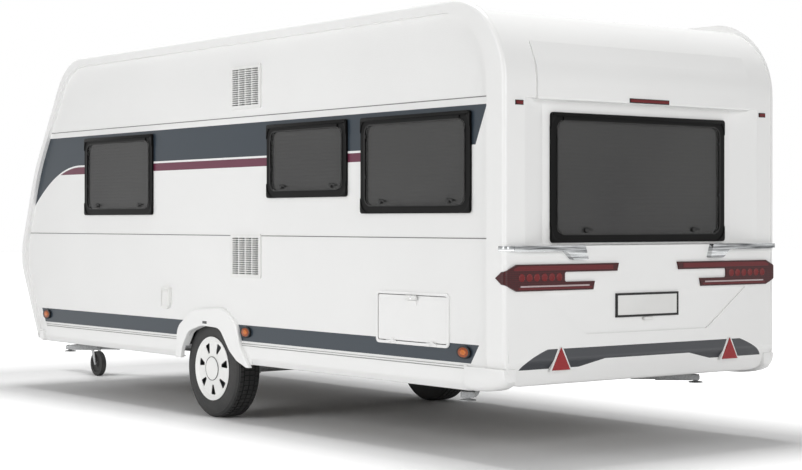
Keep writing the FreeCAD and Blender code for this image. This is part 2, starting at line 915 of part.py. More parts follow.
def build_side_walls():
    inner = d.wall_face - d.wall_thick
    left = new_body("side_wall_left")
    slab(left, "XZ_Plane", inner, d.wall_face, lambda sketch: outline(sketch, CABIN))
    windows = sketch_on(left, "XZ_Plane", -d.wall_face)
    for x, z, wide, high in SIDE_WINDOWS.values():
        window_hole(windows, x, z, wide, high)
    pocket(left, windows, d.wall_thick)
    vents = sketch_on(left, "XZ_Plane", -d.wall_face)
    grille_hole(vents, d.grille_low_z)
    grille_hole(vents, d.grille_up_z)
    flap_hole(vents)
    pocket(left, vents, d.wall_thick)
    wheel = sketch_on(left, "XZ_Plane", -d.wall_face)
    arch_opening(wheel)
    pocket(left, wheel, d.wall_thick)
    node("side_wall_left", left)

    right = new_body("side_wall_right")
    slab(right, "XZ_Plane", -d.wall_face, -inner, lambda sketch: outline(sketch, CABIN))
    windows = sketch_on(right, "XZ_Plane", inner)
    for name in ("front", "rear"):
        x, z, wide, high = SIDE_WINDOWS[name]
        window_hole(windows, x, z, wide, high)
    pocket(right, windows, d.wall_thick)
    door = sketch_on(right, "XZ_Plane", inner)
    door_hole(door, d.running_gap + d.door_sleeve)
    pocket(right, door, d.wall_thick)
    wheel = sketch_on(right, "XZ_Plane", inner)
    arch_opening(wheel)
    pocket(right, wheel, d.wall_thick)
    node("side_wall_right", right)


for required in (build_windows, build_side_walls):
    required()
    doc.recompute()


# Edge mouldings

def build_edge_mouldings():
    body = new_body("edge_moulding_left")
    outer = edge_corners()
    inner = [
        (seam_chin, d.wall_bottom, 0.0),
        (d.nose_reach - d.seam_cheek_in, d.nose_height, d.seam_cheek_radius),
        (brow_reach - d.seam_brow_in, d.brow_height, d.brow_radius),
        (front_crown - d.seam_crown_in, d.edge_top - d.seam_top_in, d.seam_front_radius),
        (d.seam_rear_in - d.rear_face, d.edge_top - d.seam_top_in, d.seam_rear_radius),
        (d.seam_rear_in - d.rear_face, d.bumper_bottom, 0.0),
    ]
    shape = slab(body, "XZ_Plane", d.wall_face, d.arch_face, lambda sketch: outline(sketch, outer + inner))
    doc.recompute()
    rim = outer_rim_edges(shape.Shape, outer, inner)
    fillet = body.newObject("PartDesign::Fillet", "Fillet")
    fillet.Base = (shape, rim)
    bind(fillet, "Radius", d.edge_round)
    trimmed = boolean("Cut", "edge_moulding_rounded", body, corner_block("moulding_corner", Dim.lift(0.0)))
    node("edge_mouldings", compound("edge_mouldings", [trimmed, mirrored(trimmed)]))


def outer_rim_edges(shape, outer, inner):
    """Edges of the outer line on the moulding's outside face, without its two lower ends."""
    names = []
    feet = d.seam_rear_in / 2 - d.rear_face, (chin_reach + seam_chin) / 2
    for index, edge in enumerate(shape.Edges, start=1):
        box = edge.BoundBox
        if box.YLength > float(d.seat_gap) or box.YMin < float(d.arch_face - d.seat_gap):
            continue
        centre = edge.CenterOfMass
        place = Vector(centre.x, centre.z, 0)
        near_foot = min(abs(centre.x - float(x)) for x in feet)
        foot = centre.z < float(d.wall_bottom + d.overrun) and near_foot < float(d.overrun)
        if not foot and distance_to_line(place, outer) < distance_to_line(place, inner):
            names.append("Edge%d" % index)
    return names


def distance_to_line(point, corners):
    """Distance from a point to the run of straight lines through some corners."""
    places = [Vector(float(x), float(z), 0) for x, z, radius in corners]
    return min(distance_to_run(point, places[i], places[i + 1]) for i in range(len(places) - 1))


def distance_to_run(point, start, end):
    along = end - start
    share = max(0.0, min(1.0, (point - start).dot(along) / along.dot(along)))
    return (start + along * share - point).Length


# Roof, front wall and rear wall

def build_roof():
    top = d.edge_top - d.roof_drop
    body = new_body("roof_panel")
    slab(body, "XY_Plane", top - d.wall_thick, top,
         lambda sketch: rectangle(sketch, -d.roof_rear_joint, -d.wall_face, d.roof_front_joint, d.wall_face))
    holes = sketch_on(body, "XY_Plane", top)
    for x, length, wide in hatch_places():
        rectangle(holes, x - length / 2, -wide / 2, x + length / 2, wide / 2, d.hatch_radius)
    pocket(body, holes, d.wall_thick)
    node("roof_panel", body)


def hatch_places():
    return [(d.hatch_large_x, d.hatch_large_long, d.hatch_large_wide),
            (d.hatch_small_x, d.hatch_small_long, d.hatch_small_wide)]


LID_HINGE_SHARES = (-0.7, 0.0, 0.6)


def build_front():
    roof = d.edge_top - d.roof_drop
    skin = skin_front_corners()
    inner = inward(skin, float(d.front_thick))
    outer_line = [(d.roof_front_joint, roof, 0.0)] + skin
    inner_line = [(x, z, radius) for x, z, radius in reversed(inner)]
    closing = [(d.roof_front_joint, roof - d.front_thick, 0.0)]
    strip = new_body("front_strip")
    slab(strip, "XZ_Plane", -d.wall_face, d.wall_face,
         lambda sketch: outline(sketch, outer_line + inner_line + closing))
    lid_block = new_body("lid_block")
    reach = d.nose_reach + d.overrun
    slab(lid_block, "XZ_Plane", -d.lid_half, d.lid_half,
         lambda sketch: rectangle(sketch, seam_chin, d.lid_low, reach, d.lid_high))
    lid = boolean("Common", "locker_lid_skin", strip, lid_block)
    gap = d.running_gap
    radius, long = d.lid_knuckle_radius, d.lid_knuckle_long
    axis_z = d.lid_high + gap / 2
    axis_x = skin_reach(axis_z) + radius + d.seat_gap
    hung, fixed = [lid], []
    for share in LID_HINGE_SHARES:
        y = share * d.lid_half
        hung.append(rod("lid_knuckle", (axis_x, y, axis_z), radius, long, Vector(0, 1, 0)))
        hung.append(block("lid_leaf", (axis_x - 2 * radius, y, axis_z - 3 * radius), (axis_x, y + long,
            d.lid_high)))
        for start in (y - long - d.seat_gap, y + long + d.seat_gap):
            fixed.append(rod("lid_wall_knuckle", (axis_x, start, axis_z), radius, long, Vector(0, 1, 0)))
            fixed.append(block("lid_wall_leaf", (axis_x - 2 * radius, start, d.lid_high + gap),
                               (axis_x, start + long, axis_z + 3 * radius)))
    node("locker_lid", fuse("locker_lid_hung", hung))
    opening = new_body("lid_opening")
    slab(opening, "XZ_Plane", -d.lid_half - gap, d.lid_half + gap,
         lambda sketch: rectangle(sketch, seam_chin, d.lid_low - gap, reach, d.lid_high + gap))
    sleeve = new_body("nose_window_opening")
    slab(sleeve, "XY_Plane", -2 * d.front_thick, d.front_thick,
         lambda sketch: window_hole(sketch, Dim.lift(0.0), Dim.lift(0.0), d.nose_window_wide,
             d.nose_window_high))
    locate(sleeve, middle.x, 0.0, middle.z, FRONT)
    holed = boolean("Cut", "front_wall_window", strip, sleeve)
    opened = boolean("Cut", "front_wall_open", holed, opening)
    slot = new_body("drawbar_slot_left")
    slab(slot, "XY_Plane", d.drawbar_low, d.drawbar_low + d.drawbar_tall + d.running_gap,
         lambda sketch: outline(sketch, drawbar_line(d.running_gap)))
    slots = compound("drawbar_slots", [slot, mirrored(slot)])
    slotted = boolean("Cut", "front_wall_slotted", opened, slots)
    node("front_wall", fuse("front_wall_hung", [slotted] + fixed))


def skin_reach(height):
    """How far forward the front panel's nose round lies at a height."""
    corners = [Vector(float(x), float(z), 0) for x, z, radius in skin_front_corners()[-3:]]
    first, last, centre = corner_arc(*corners, float(d.nose_radius))
    rise = float(height) - centre.y
    return Dim.lift(centre.x + math.sqrt(float(d.nose_radius) ** 2 - rise ** 2))


BROW_ROOT_SHARE = 0.6
BROW_ROUND_SHARE = 0.6
BROW_BACK_SHARE = 0.7


def build_rear():
    roof = d.edge_top - d.roof_drop
    body = new_body("rear_wall")
    inset = d.edge_step / 2
    profile = [
        (-d.rear_face + inset, d.bumper_top, 0.0),
        (-d.rear_face + inset, roof, d.rear_radius - d.roof_drop),
        (-d.roof_rear_joint, roof, 0.0),
        (-d.roof_rear_joint, roof - d.wall_thick, 0.0),
        (-cabin_rear, roof - d.wall_thick, d.cabin_rear_radius),
        (-cabin_rear, d.bumper_top, 0.0),
    ]
    slab(body, "XZ_Plane", -d.wall_face, d.wall_face, lambda sketch: outline(sketch, profile))
    inner = d.wall_face - d.wall_thick
    skin_inside = d.rear_face - inset - d.rear_thick
    hollow = sketch_on(body, "XZ_Plane", -inner)
    outline(hollow, [
        (-skin_inside, d.bumper_top - d.overrun, 0.0),
        (-skin_inside, roof - d.rear_thick, d.rear_radius - d.roof_drop - d.rear_thick),
        (-d.roof_rear_joint + d.overrun, roof - d.rear_thick, 0.0),
        (-d.roof_rear_joint + d.overrun, d.bumper_top - d.overrun, 0.0),
    ])
    pocket(body, hollow, 2 * inner)
    rim = d.recess_lip + d.rear_thick
    slab(body, "XY_Plane", d.recess_bottom - rim, d.recess_top + rim, lambda sketch: outline(sketch, [
        (-skin_inside - d.recess_lip, -recess_outer_half - d.recess_lip, 0.0),
        (-skin_inside, -recess_outer_half - d.recess_lip, 0.0),
        (-cabin_rear, -d.recess_inner_half - d.recess_lip / 2, 0.0),
        (-cabin_rear, d.recess_inner_half + d.recess_lip / 2, 0.0),
        (-skin_inside, recess_outer_half + d.recess_lip, 0.0),
        (-skin_inside - d.recess_lip, recess_outer_half + d.recess_lip, 0.0)]))
    wide = sketch_on(body, "YZ_Plane", -d.rear_face - d.overrun)
    deep = sketch_on(body, "YZ_Plane", -cabin_rear - d.rear_thick)
    grow = (recess_outer_half - d.recess_inner_half) * d.overrun / (d.rear_face - cabin_rear - d.rear_thick)
    rectangle(wide, -recess_outer_half - grow, d.recess_bottom - d.recess_lip, recess_outer_half + grow,
              d.recess_top + d.recess_lip)
    rectangle(deep, -d.recess_inner_half, d.recess_bottom, d.recess_inner_half, d.recess_top)
    recess = body.newObject("PartDesign::SubtractiveLoft", "Recess")
    recess.Profile = wide
    recess.Sections = [(deep, [""])]
    recess.Ruled = True
    doc.recompute()
    hole = sketch_on(body, "YZ_Plane", -cabin_rear - d.rear_thick - d.overrun)
    window_hole(hole, Dim.lift(0.0), d.back_window_z, d.back_window_wide, d.back_window_high)
    pocket(body, hole, d.wall_thick + d.overrun + d.overrun, reverse=True)
    face = d.rear_face - inset
    low = d.recess_top
    mid_wall = d.rear_thick * BROW_ROOT_SHARE
    slab(body, "XZ_Plane", -d.brow_half, d.brow_half, lambda sketch: outline(sketch, [
        (-face + mid_wall, low, 0.0),
        (-face - d.brow_proud, low, d.brow_lip_radius),
        (-face - d.brow_proud, low + d.brow_face_high, d.rear_radius * BROW_ROUND_SHARE),
        (-face - d.brow_proud + d.brow_fade, low + d.brow_high, 0.0),
        (-face - d.brow_proud + d.brow_fade + mid_wall / 2, low + d.brow_high - mid_wall, 0.0),
        (-face + mid_wall, low + d.brow_face_high * BROW_BACK_SHARE, 0.0)]))
    node("rear_wall", body)


def corner_block(name, inset):
    """What lies outside the rounded lower corner of the rear, on the left."""
    reach = d.arch_face - inset
    low = d.bumper_bottom + inset
    corner = d.bumper_corner
    body = new_body(name)
    slab(body, "YZ_Plane", -bumper_reach - d.overrun, d.seam_rear_in + d.overrun - d.rear_face,
         lambda sketch: outline(sketch, [
             (reach - corner - d.overrun, low - 2 * d.overrun, 0.0),
             (reach + 3 * d.overrun, low - 2 * d.overrun, 0.0),
             (reach + 3 * d.overrun, low + corner + d.overrun, 0.0),
             (reach, low + corner + d.overrun, 0.0),
             (reach, low, corner),
             (reach - corner - d.overrun, low, 0.0)]))
    return body


def build_bumper():
    shell = new_body("bumper_shell")
    inner = cabin_rear
    face = d.rear_face - d.edge_step / 2
    slab(shell, "XZ_Plane", -d.wall_face, d.wall_face, lambda sketch: outline(sketch, [
        (-inner, d.bumper_top, 0.0),
        (-face, d.bumper_top, 0.0),
        (-bumper_reach, d.bumper_belly_height, d.bumper_round),
        (-bumper_reach + d.bumper_round, d.bumper_bottom, d.bumper_round / 2),
        (-inner, d.bumper_bottom, 0.0)]))
    recess = sketch_on(shell, "YZ_Plane", -bumper_reach - d.overrun)
    outline(recess, [
        (-d.plate_recess_half_bottom, d.plate_recess_bottom, d.bumper_round),
        (d.plate_recess_half_bottom, d.plate_recess_bottom, d.bumper_round),
        (d.plate_recess_half_top, d.bumper_top + d.overrun, 0.0),
        (-d.plate_recess_half_top, d.bumper_top + d.overrun, 0.0)])
    pocket(shell, recess, d.overrun + d.plate_recess_depth, reverse=True)
    wall = d.bumper_wall
    hollow = new_body("bumper_hollow")
    slab(hollow, "XZ_Plane", wall - d.wall_face, d.wall_face - wall, lambda sketch: outline(sketch, [
        (d.overrun - inner, d.bumper_top + d.overrun, 0.0),
        (-face + 2 * wall, d.bumper_top + d.overrun, 0.0),
        (-bumper_reach + 2 * wall, d.bumper_belly_height, d.bumper_round),
        (-bumper_reach + d.bumper_round + wall, d.bumper_bottom + wall, d.bumper_round / 2),
        (d.overrun - inner, d.bumper_bottom + wall, 0.0)]))
    left = corner_block("corner_left", Dim.lift(0.0))
    inside = corner_block("corner_inside_left", wall)
    corners = compound("rear_corners", [left, mirrored(left)])
    insides = compound("rear_inside_corners", [inside, mirrored(inside)])
    rounded_shell = boolean("Cut", "bumper_rounded", shell, corners)
    rounded_hollow = boolean("Cut", "bumper_hollow_rounded", hollow, insides)
    node("rear_bumper", boolean("Cut", "bumper_opened", rounded_shell, rounded_hollow))

    plate = new_body("number_plate")
    back = bumper_reach - d.plate_recess_depth + d.seat_gap
    slab(plate, "YZ_Plane", -back - d.plate_thick, -back,
         lambda sketch: rectangle(sketch, -d.plate_half, d.plate_low, d.plate_half, d.plate_high, 0.0))
    node("number_plate", plate)


# Sills, arches and wheel boxes

def sill_section(sketch):
    face = d.wall_face
    outer = face + d.sill_flange
    wall = d.sill_wall
    outline(sketch, [
        (face, d.sill_top, 0.0),
        (face, d.wall_bottom - wall, 0.0),
        (outer - wall, d.wall_bottom - 2 * wall, 0.0),
        (outer - wall, d.sill_bottom + d.sill_round, d.sill_round - wall),
        (outer - d.sill_tuck, d.sill_bottom + wall, 0.0),
        (outer - d.sill_tuck, d.sill_bottom, 0.0),
        (outer - d.sill_round / 2, d.sill_bottom, d.sill_round / 4),
        (outer, d.sill_bottom + d.sill_round, d.sill_round),
        (outer, d.keder_z, 0.0),
        (outer - d.keder_deep, d.keder_z, 0.0),
        (outer - d.keder_deep, d.keder_z + d.keder_tall, 0.0),
        (outer, d.keder_z + d.keder_tall, 0.0),
        (outer, d.sill_top, 0.0),
    ])


def build_sills():
    pieces = []
    for name, low, high in (("sill_front", d.arch_front, d.sill_front_end),
                            ("sill_rear", -d.sill_rear_end, -d.arch_rear)):
        body = new_body(name)
        slab(body, "YZ_Plane", low, high, sill_section)
        pieces += [body, mirrored(body)]
    node("sill_profiles", compound("sill_profiles", pieces))


def build_arches():
    body = new_body("wheel_arch_left")
    slab(body, "XZ_Plane", d.wall_face, d.arch_face, lambda sketch: outline(sketch,
        arch_corners(ARCH_OUTER_SHARES)))
    opening = sketch_on(body, "XZ_Plane", -d.arch_face)
    arch_opening(opening)
    cut = pocket(body, opening, d.arch_face - d.wall_face)
    doc.recompute()
    foot = d.arch_lip_bottom + d.overrun
    outer, inner = arch_corners(ARCH_OUTER_SHARES), arch_corners(ARCH_OPENING_SHARES)
    edges = face_edges(cut.Shape, outer, inner, foot)
    shape = round_edges(body, cut, edges, d.arch_round)
    edges = face_edges(shape.Shape, inner, outer, foot)
    round_edges(body, shape, edges, d.arch_lip_round)
    node("wheel_arches", compound("wheel_arches", [body, mirrored(body)]))


def face_edges(shape, wanted, other, low):
    """Edges on the outside face that follow one line and not the other, above a level."""
    names = []
    for index, edge in enumerate(shape.Edges, start=1):
        box = edge.BoundBox
        centre = edge.CenterOfMass
        if box.YLength > float(d.seat_gap) or box.YMin < float(d.arch_face - d.seat_gap):
            continue
        place = Vector(centre.x, centre.z, 0)
        if centre.z > float(low) and distance_to_line(place, wanted) < distance_to_line(place, other):
            names.append("Edge%d" % index)
    return names


def round_edges(body, shape, names, radius):
    fillet = body.newObject("PartDesign::Fillet", "Rounding")
    fillet.Base = (shape, names)
    bind(fillet, "Radius", radius)
    doc.recompute()
    return fillet


def build_wheel_boxes():
    body = new_body("wheel_box_left")
    outer = d.wall_face - d.wall_thick
    wall = d.box_wall
    slab(body, "XZ_Plane", d.box_inner, outer, lambda sketch: outline(sketch, [
        (-d.box_half, d.wall_bottom, 0.0), (d.box_half, d.wall_bottom, 0.0),
        (d.box_half, d.box_top, d.box_radius), (-d.box_half, d.box_top, d.box_radius)]))
    hollow = sketch_on(body, "XZ_Plane", -outer)
    outline(hollow, [
        (wall - d.box_half, d.wall_bottom - d.overrun, 0.0), (d.box_half - wall,
            d.wall_bottom - d.overrun, 0.0),
        (d.box_half - wall, d.box_top - wall, d.box_radius - wall),
        (wall - d.box_half, d.box_top - wall, d.box_radius - wall)])
    pocket(body, hollow, outer - d.box_inner - wall)
    node("wheel_boxes", compound("wheel_boxes", [body, mirrored(body)]))


# Floor and gas locker

def build_floor():
    inner = d.wall_face - d.wall_thick
    sheet_block = new_body("floor_block")
    reach = d.nose_reach
    slab(sheet_block, "XY_Plane", d.wall_bottom, d.wall_bottom + d.floor_thick,
        lambda sketch: outline(sketch, [
        (-reach - d.wall_thick, -inner, 0.0), (reach, -inner, 0.0), (reach, inner, 0.0),
        (-reach - d.wall_thick, inner, 0.0)]))
    wells = sketch_on(sheet_block, "XY_Plane", d.wall_bottom + d.floor_thick)
    rectangle(wells, -d.box_half, d.box_inner, d.box_half, inner + d.overrun)
    rectangle(wells, -d.box_half, -inner - d.overrun, d.box_half, -d.box_inner)
    pocket(sheet_block, wells, d.floor_thick)
    cabin = cabin_block("cabin_inside", inner)
    node("floor_panel", boolean("Common", "floor_panel", sheet_block, cabin))

    wall = new_body("locker_block")
    floor_top = d.wall_bottom + d.floor_thick
    slab(wall, "XZ_Plane", -inner, inner, lambda sketch: outline(sketch, [
        (locker_wall_x, floor_top, 0.0), (locker_wall_x + d.locker_board, floor_top, 0.0),
        (locker_wall_x + d.locker_board, d.locker_shelf - d.locker_board, 0.0),
        (d.nose_reach, d.locker_shelf - d.locker_board, 0.0), (d.nose_reach, d.locker_shelf, 0.0),
        (locker_wall_x, d.locker_shelf, 0.0)]))
    node("locker_bulkhead", boolean("Common", "locker_bulkhead", wall, cabin))


for required in (build_edge_mouldings, build_roof, build_front, build_rear, build_bumper, build_sills,
    build_arches,
                 build_wheel_boxes, build_floor):
    required()
    doc.recompute()


# Entrance door

def build_door():
    inner = d.wall_face - d.wall_thick
    leaf = new_body("entrance_door")
    slab(leaf, "XZ_Plane", -d.wall_face, -inner, lambda sketch: door_hole(sketch, Dim.lift(0.0)))
    hole = sketch_on(leaf, "XZ_Plane", inner)
    centre = d.door_front_x - d.door_wide / 2
    window_hole(hole, centre, d.door_window_z, d.door_window_wide, d.door_window_high)
    pocket(leaf, hole, d.wall_thick)
    latch_x = d.door_front_x - d.door_wide + d.latch_wide
    slab(leaf, "XZ_Plane", -d.wall_face - d.latch_proud, -d.wall_face, lambda sketch: rectangle(
        sketch, latch_x, d.latch_z - d.latch_high / 2, latch_x + d.latch_wide, d.latch_z + d.latch_high / 2,
        d.latch_wide / 4))
    axis_x = d.door_front_x + d.hinge_ahead
    axis_y = -d.wall_face - d.hinge_out
    knuckles = []
    for level in hinge_levels():
        knuckles.append(rod("door_knuckle", (axis_x, axis_y, level), d.hinge_radius, d.hinge_tall,
            Vector(0, 0, 1)))
        knuckles.append(block("door_leaf", (axis_x - 4 * d.hinge_radius, axis_y - d.hinge_leaf / 2, level),
                              (axis_x, axis_y + d.hinge_leaf / 2, level + d.hinge_tall)))
        knuckles.append(block("door_foot", (axis_x - 4 * d.hinge_radius, axis_y, level),
                              (axis_x - 2 * d.hinge_radius, -d.wall_face, level + d.hinge_tall)))
    node("entrance_door", fuse("entrance_door_hung", [leaf] + knuckles))

    frame = new_body("door_frame")
    slab(frame, "XZ_Plane", -d.wall_face, -inner,
         lambda sketch: door_hole(sketch, d.running_gap + d.door_sleeve))
    slab(frame, "XZ_Plane", -d.wall_face - d.door_flange_thick, -d.wall_face,
         lambda sketch: door_hole(sketch, d.running_gap + d.door_sleeve + d.door_flange))
    passage = sketch_on(frame, "XZ_Plane", inner - d.overrun)
    door_hole(passage, d.running_gap)
    pocket(frame, passage, d.wall_thick + d.overrun + d.overrun)
    doc.recompute()
    pins = []
    for level in hinge_levels():
        for low in (level - d.hinge_tall / 2 - d.seat_gap, level + d.hinge_tall + d.seat_gap):
            pins.append(rod("frame_knuckle", (axis_x, axis_y, low), d.hinge_radius, d.hinge_tall / 2,
                            Vector(0, 0, 1)))
            pins.append(block("frame_leaf", (axis_x, axis_y - d.hinge_leaf / 2, low),
                              (axis_x + 2 * d.hinge_radius, -d.wall_face - d.door_flange_thick,
                               low + d.hinge_tall / 2)))
    node("door_frame", fuse("door_frame_hung", [frame] + pins))

    x, y, z = centre, -d.wall_face, d.door_window_z
    node("door_window_frame", window_frame("door_window_frame", d.door_window_wide, d.door_window_high),
         x, y, z, RIGHT)
    node("door_window_pane", window_sheet("door_window_pane", d.door_window_wide, d.door_window_high,
                                          d.pane_inset, d.pane_thick), x, y, z, RIGHT)


def hinge_levels():
    """Heights of the three door hinges."""
    span = d.door_top - d.door_bottom
    return [d.door_bottom + share * span for share in HINGE_SHARES]


HINGE_SHARES = (0.12, 0.5, 0.84)


# Service flap, grilles and inlet on the left

FLAP_HINGE_SHARES = (0.2, 0.75)


def build_flap():
    x1, x0 = d.flap_front_x, d.flap_front_x - d.flap_wide
    z0, z1 = d.flap_low, d.flap_low + d.flap_high
    half = d.flap_frame_width / 2
    wide = d.flap_frame_width
    frame = new_body("service_flap_frame")
    slab(frame, "XZ_Plane", d.wall_face - d.wall_thick, d.wall_face,
         lambda sketch: rectangle(sketch, x0 + half, z0 + half, x1 - half, z1 - half, d.flap_radius))
    slab(frame, "XZ_Plane", d.wall_face, d.wall_face + d.flap_frame_proud,
         lambda sketch: rectangle(sketch, x0, z0, x1, z1, d.flap_radius))
    passage = sketch_on(frame, "XZ_Plane", -d.wall_face - d.flap_frame_proud)
    rectangle(passage, x0 + wide, z0 + wide, x1 - wide, z1 - wide, d.flap_radius / 2)
    pocket(frame, passage, d.wall_thick + d.flap_frame_proud)

    gap = d.running_gap
    flap = new_body("service_flap")
    slab(flap, "XZ_Plane", d.wall_face - d.wall_thick, d.wall_face + d.flap_frame_proud / 2,
         lambda sketch: rectangle(sketch, x0 + wide + gap, z0 + wide + gap, x1 - wide - gap, z1 - wide - gap,
                                  d.flap_radius / 2))
    centre = (x0 + x1) / 2
    face = d.wall_face + d.flap_frame_proud / 2
    slab(flap, "XZ_Plane", face, face + d.flap_lock_proud, lambda sketch: rectangle(
        sketch, centre - d.flap_lock_wide / 2, z1 - wide - gap - 2 * d.flap_lock_high,
        centre + d.flap_lock_wide / 2, z1 - wide - gap - d.flap_lock_high, d.flap_lock_high / 4))
    radius, long = d.flap_knuckle_radius, d.flap_knuckle_long
    axis_y = d.wall_face + d.flap_frame_proud + radius + d.seat_gap
    axis_z = z0 + wide
    hung, fixed = [flap], [frame]
    for share in FLAP_HINGE_SHARES:
        x = x0 + share * d.flap_wide
        hung.append(rod("flap_knuckle", (x, axis_y, axis_z), radius, long, Vector(1, 0, 0)))
        hung.append(block("flap_leaf", (x, face - d.seat_gap, axis_z + d.seat_gap),
                          (x + long, axis_y, axis_z + 3 * radius)))
        for start in (x - long - d.seat_gap, x + long + d.seat_gap):
            fixed.append(rod("flap_frame_knuckle", (start, axis_y, axis_z), radius, long, Vector(1, 0, 0)))
            fixed.append(block("flap_frame_leaf", (start, d.wall_face + d.seat_gap, axis_z - 3 * radius),
                               (start + long, axis_y, axis_z - radius / 2)))
    node("service_flap", fuse("service_flap_hung", hung))
    node("service_flap_frame", fuse("service_flap_frame_hung", fixed))


def build_grilles():
    pieces = []
    for name, low in (("grille_low", d.grille_low_z), ("grille_up", d.grille_up_z)):
        body = new_body(name)
        x1 = d.grille_front_x
        x0 = x1 - d.grille_wide
        slab(body, "XZ_Plane", d.wall_face, d.wall_face + d.grille_proud,
             lambda sketch: rectangle(sketch, x0, low, x1, low + d.grille_high, d.grille_radius))
        slab(body, "XZ_Plane", d.wall_face - d.grille_depth, d.wall_face,
             lambda sketch: rectangle(sketch, x0 + d.grille_rim, low + d.grille_rim, x1 - d.grille_rim,
                                      low + d.grille_high - d.grille_rim))
        add_slots(body, x0, low)
        pieces.append(body)
    node("fridge_grilles", compound("fridge_grilles", pieces))


def add_slots(body, x0, low):
    """Rows and columns of louvre slots, drawn once and repeated."""
    columns, rows = COUNTS["grille_columns"], COUNTS["grille_rows"]
    field_wide = d.grille_wide - 2 * d.grille_rim
    field_high = d.grille_high - 2 * d.grille_rim
    pitch_x = (field_wide + d.grille_post) / columns
    pitch_z = (field_high + d.grille_slat) / rows
    slots = sketch_on(body, "XZ_Plane", -d.wall_face - d.grille_proud)
    left = x0 + d.grille_rim
    bottom = low + d.grille_rim
    rectangle(slots, left, bottom, left + pitch_x - d.grille_post, bottom + pitch_z - d.grille_slat)
    first = pocket(body, slots, d.grille_proud + d.grille_depth)
    doc.recompute()
    across = body.newObject("PartDesign::MultiTransform", "Slots")
    across.Originals = [first]
    step_x = body.newObject("PartDesign::LinearPattern", "Columns")
    step_x.Direction = (slots, ["H_Axis"])
    step_x.Occurrences = columns
    step_x.Length = float(pitch_x * (columns - 1))
    bind(step_x, "Length", pitch_x * (columns - 1))
    step_z = body.newObject("PartDesign::LinearPattern", "Rows")
    step_z.Direction = (slots, ["V_Axis"])
    step_z.Occurrences = rows
    step_z.Length = float(pitch_z * (rows - 1))
    bind(step_z, "Length", pitch_z * (rows - 1))
    across.Transformations = [step_x, step_z]
    body.Tip = across


INLET_LOW_ROUND_SHARE = 0.8
INLET_TOP_ROUND_SHARE = 0.2


def build_inlet():
    body = new_body("power_inlet")
    x, z = d.inlet_x, d.inlet_z
    wide, high = d.inlet_wide / 2, d.inlet_high / 2
    slab(body, "XZ_Plane", d.wall_face, d.wall_face + d.inlet_proud, lambda sketch: outline(sketch, [
        (x - wide, z - high, wide * INLET_LOW_ROUND_SHARE), (x + wide, z - high,
            wide * INLET_LOW_ROUND_SHARE),
        (x + wide, z + high, wide * INLET_TOP_ROUND_SHARE), (x - wide, z + high,
            wide * INLET_TOP_ROUND_SHARE)]))
    node("power_inlet", body)


# Lamps, reflectors and handles

def corner_lamp():
    """Tail lamps: an arrow-shaped cover that goes round the corner onto the moulding."""
    gap = d.seat_gap
    wall = d.rear_face - d.edge_step / 2 + gap
    corner_x, corner_y = d.rear_face + gap, d.arch_face + gap
    outer_x, outer_y = wall + d.lamp_proud, corner_y + d.lamp_side
    end_x = d.rear_face - d.lamp_side_long
    start = d.lamp_upper_end - d.overrun
    cover = new_body("lamp_cover")
    slab(cover, "XY_Plane", d.lamp_low - d.overrun, d.lamp_high + d.overrun, lambda sketch: outline(sketch, [
        (-wall, start, 0.0), (-wall, d.wall_face - gap, 0.0), (-corner_x, d.wall_face - gap, 0.0),
        (-corner_x, corner_y, d.edge_round + gap), (-end_x + d.overrun, corner_y, 0.0),
        (-end_x + d.overrun, outer_y, 0.0), (-outer_x, outer_y, d.edge_round + d.lamp_side),
        (-outer_x, start, 0.0)]))
    rise = d.lamp_side_high / 2
    rear = new_body("lamp_rear_outline")
    slab(rear, "YZ_Plane", -outer_x - d.overrun, -d.rear_face + d.edge_round,
        lambda sketch: outline(sketch, [
        (outer_y + gap, d.lamp_tip_z + rise, 0.0), (d.lamp_corner, d.lamp_high, 0.0),
        (d.lamp_upper_end, d.lamp_high, 0.0), (d.lamp_upper_end + d.lamp_proud, d.lamp_upper_low, 0.0),
        (d.lamp_notch, d.lamp_upper_low, d.lamp_proud), (d.lamp_notch, d.lamp_lower_high, d.lamp_proud),
        (d.lamp_lower_end, d.lamp_lower_high, 0.0), (d.lamp_lower_end + d.lamp_proud, d.lamp_low, 0.0),
        (d.lamp_corner, d.lamp_low, 0.0), (outer_y + gap, d.lamp_tip_z - rise, 0.0)]))
    flank = new_body("lamp_side_outline")
    slab(flank, "XZ_Plane", d.wall_face, outer_y + d.overrun, lambda sketch: outline(sketch, [
        (-d.rear_face + d.edge_round, d.lamp_tip_z - rise, 0.0), (-end_x, d.lamp_tip_z, 0.0),
        (-d.rear_face + d.edge_round, d.lamp_tip_z + rise, 0.0)]))
    lamp = boolean("Common", "tail_lamp_left", cover, fuse("lamp_outline", [rear, flank]))
    return [lamp, mirrored(lamp)]


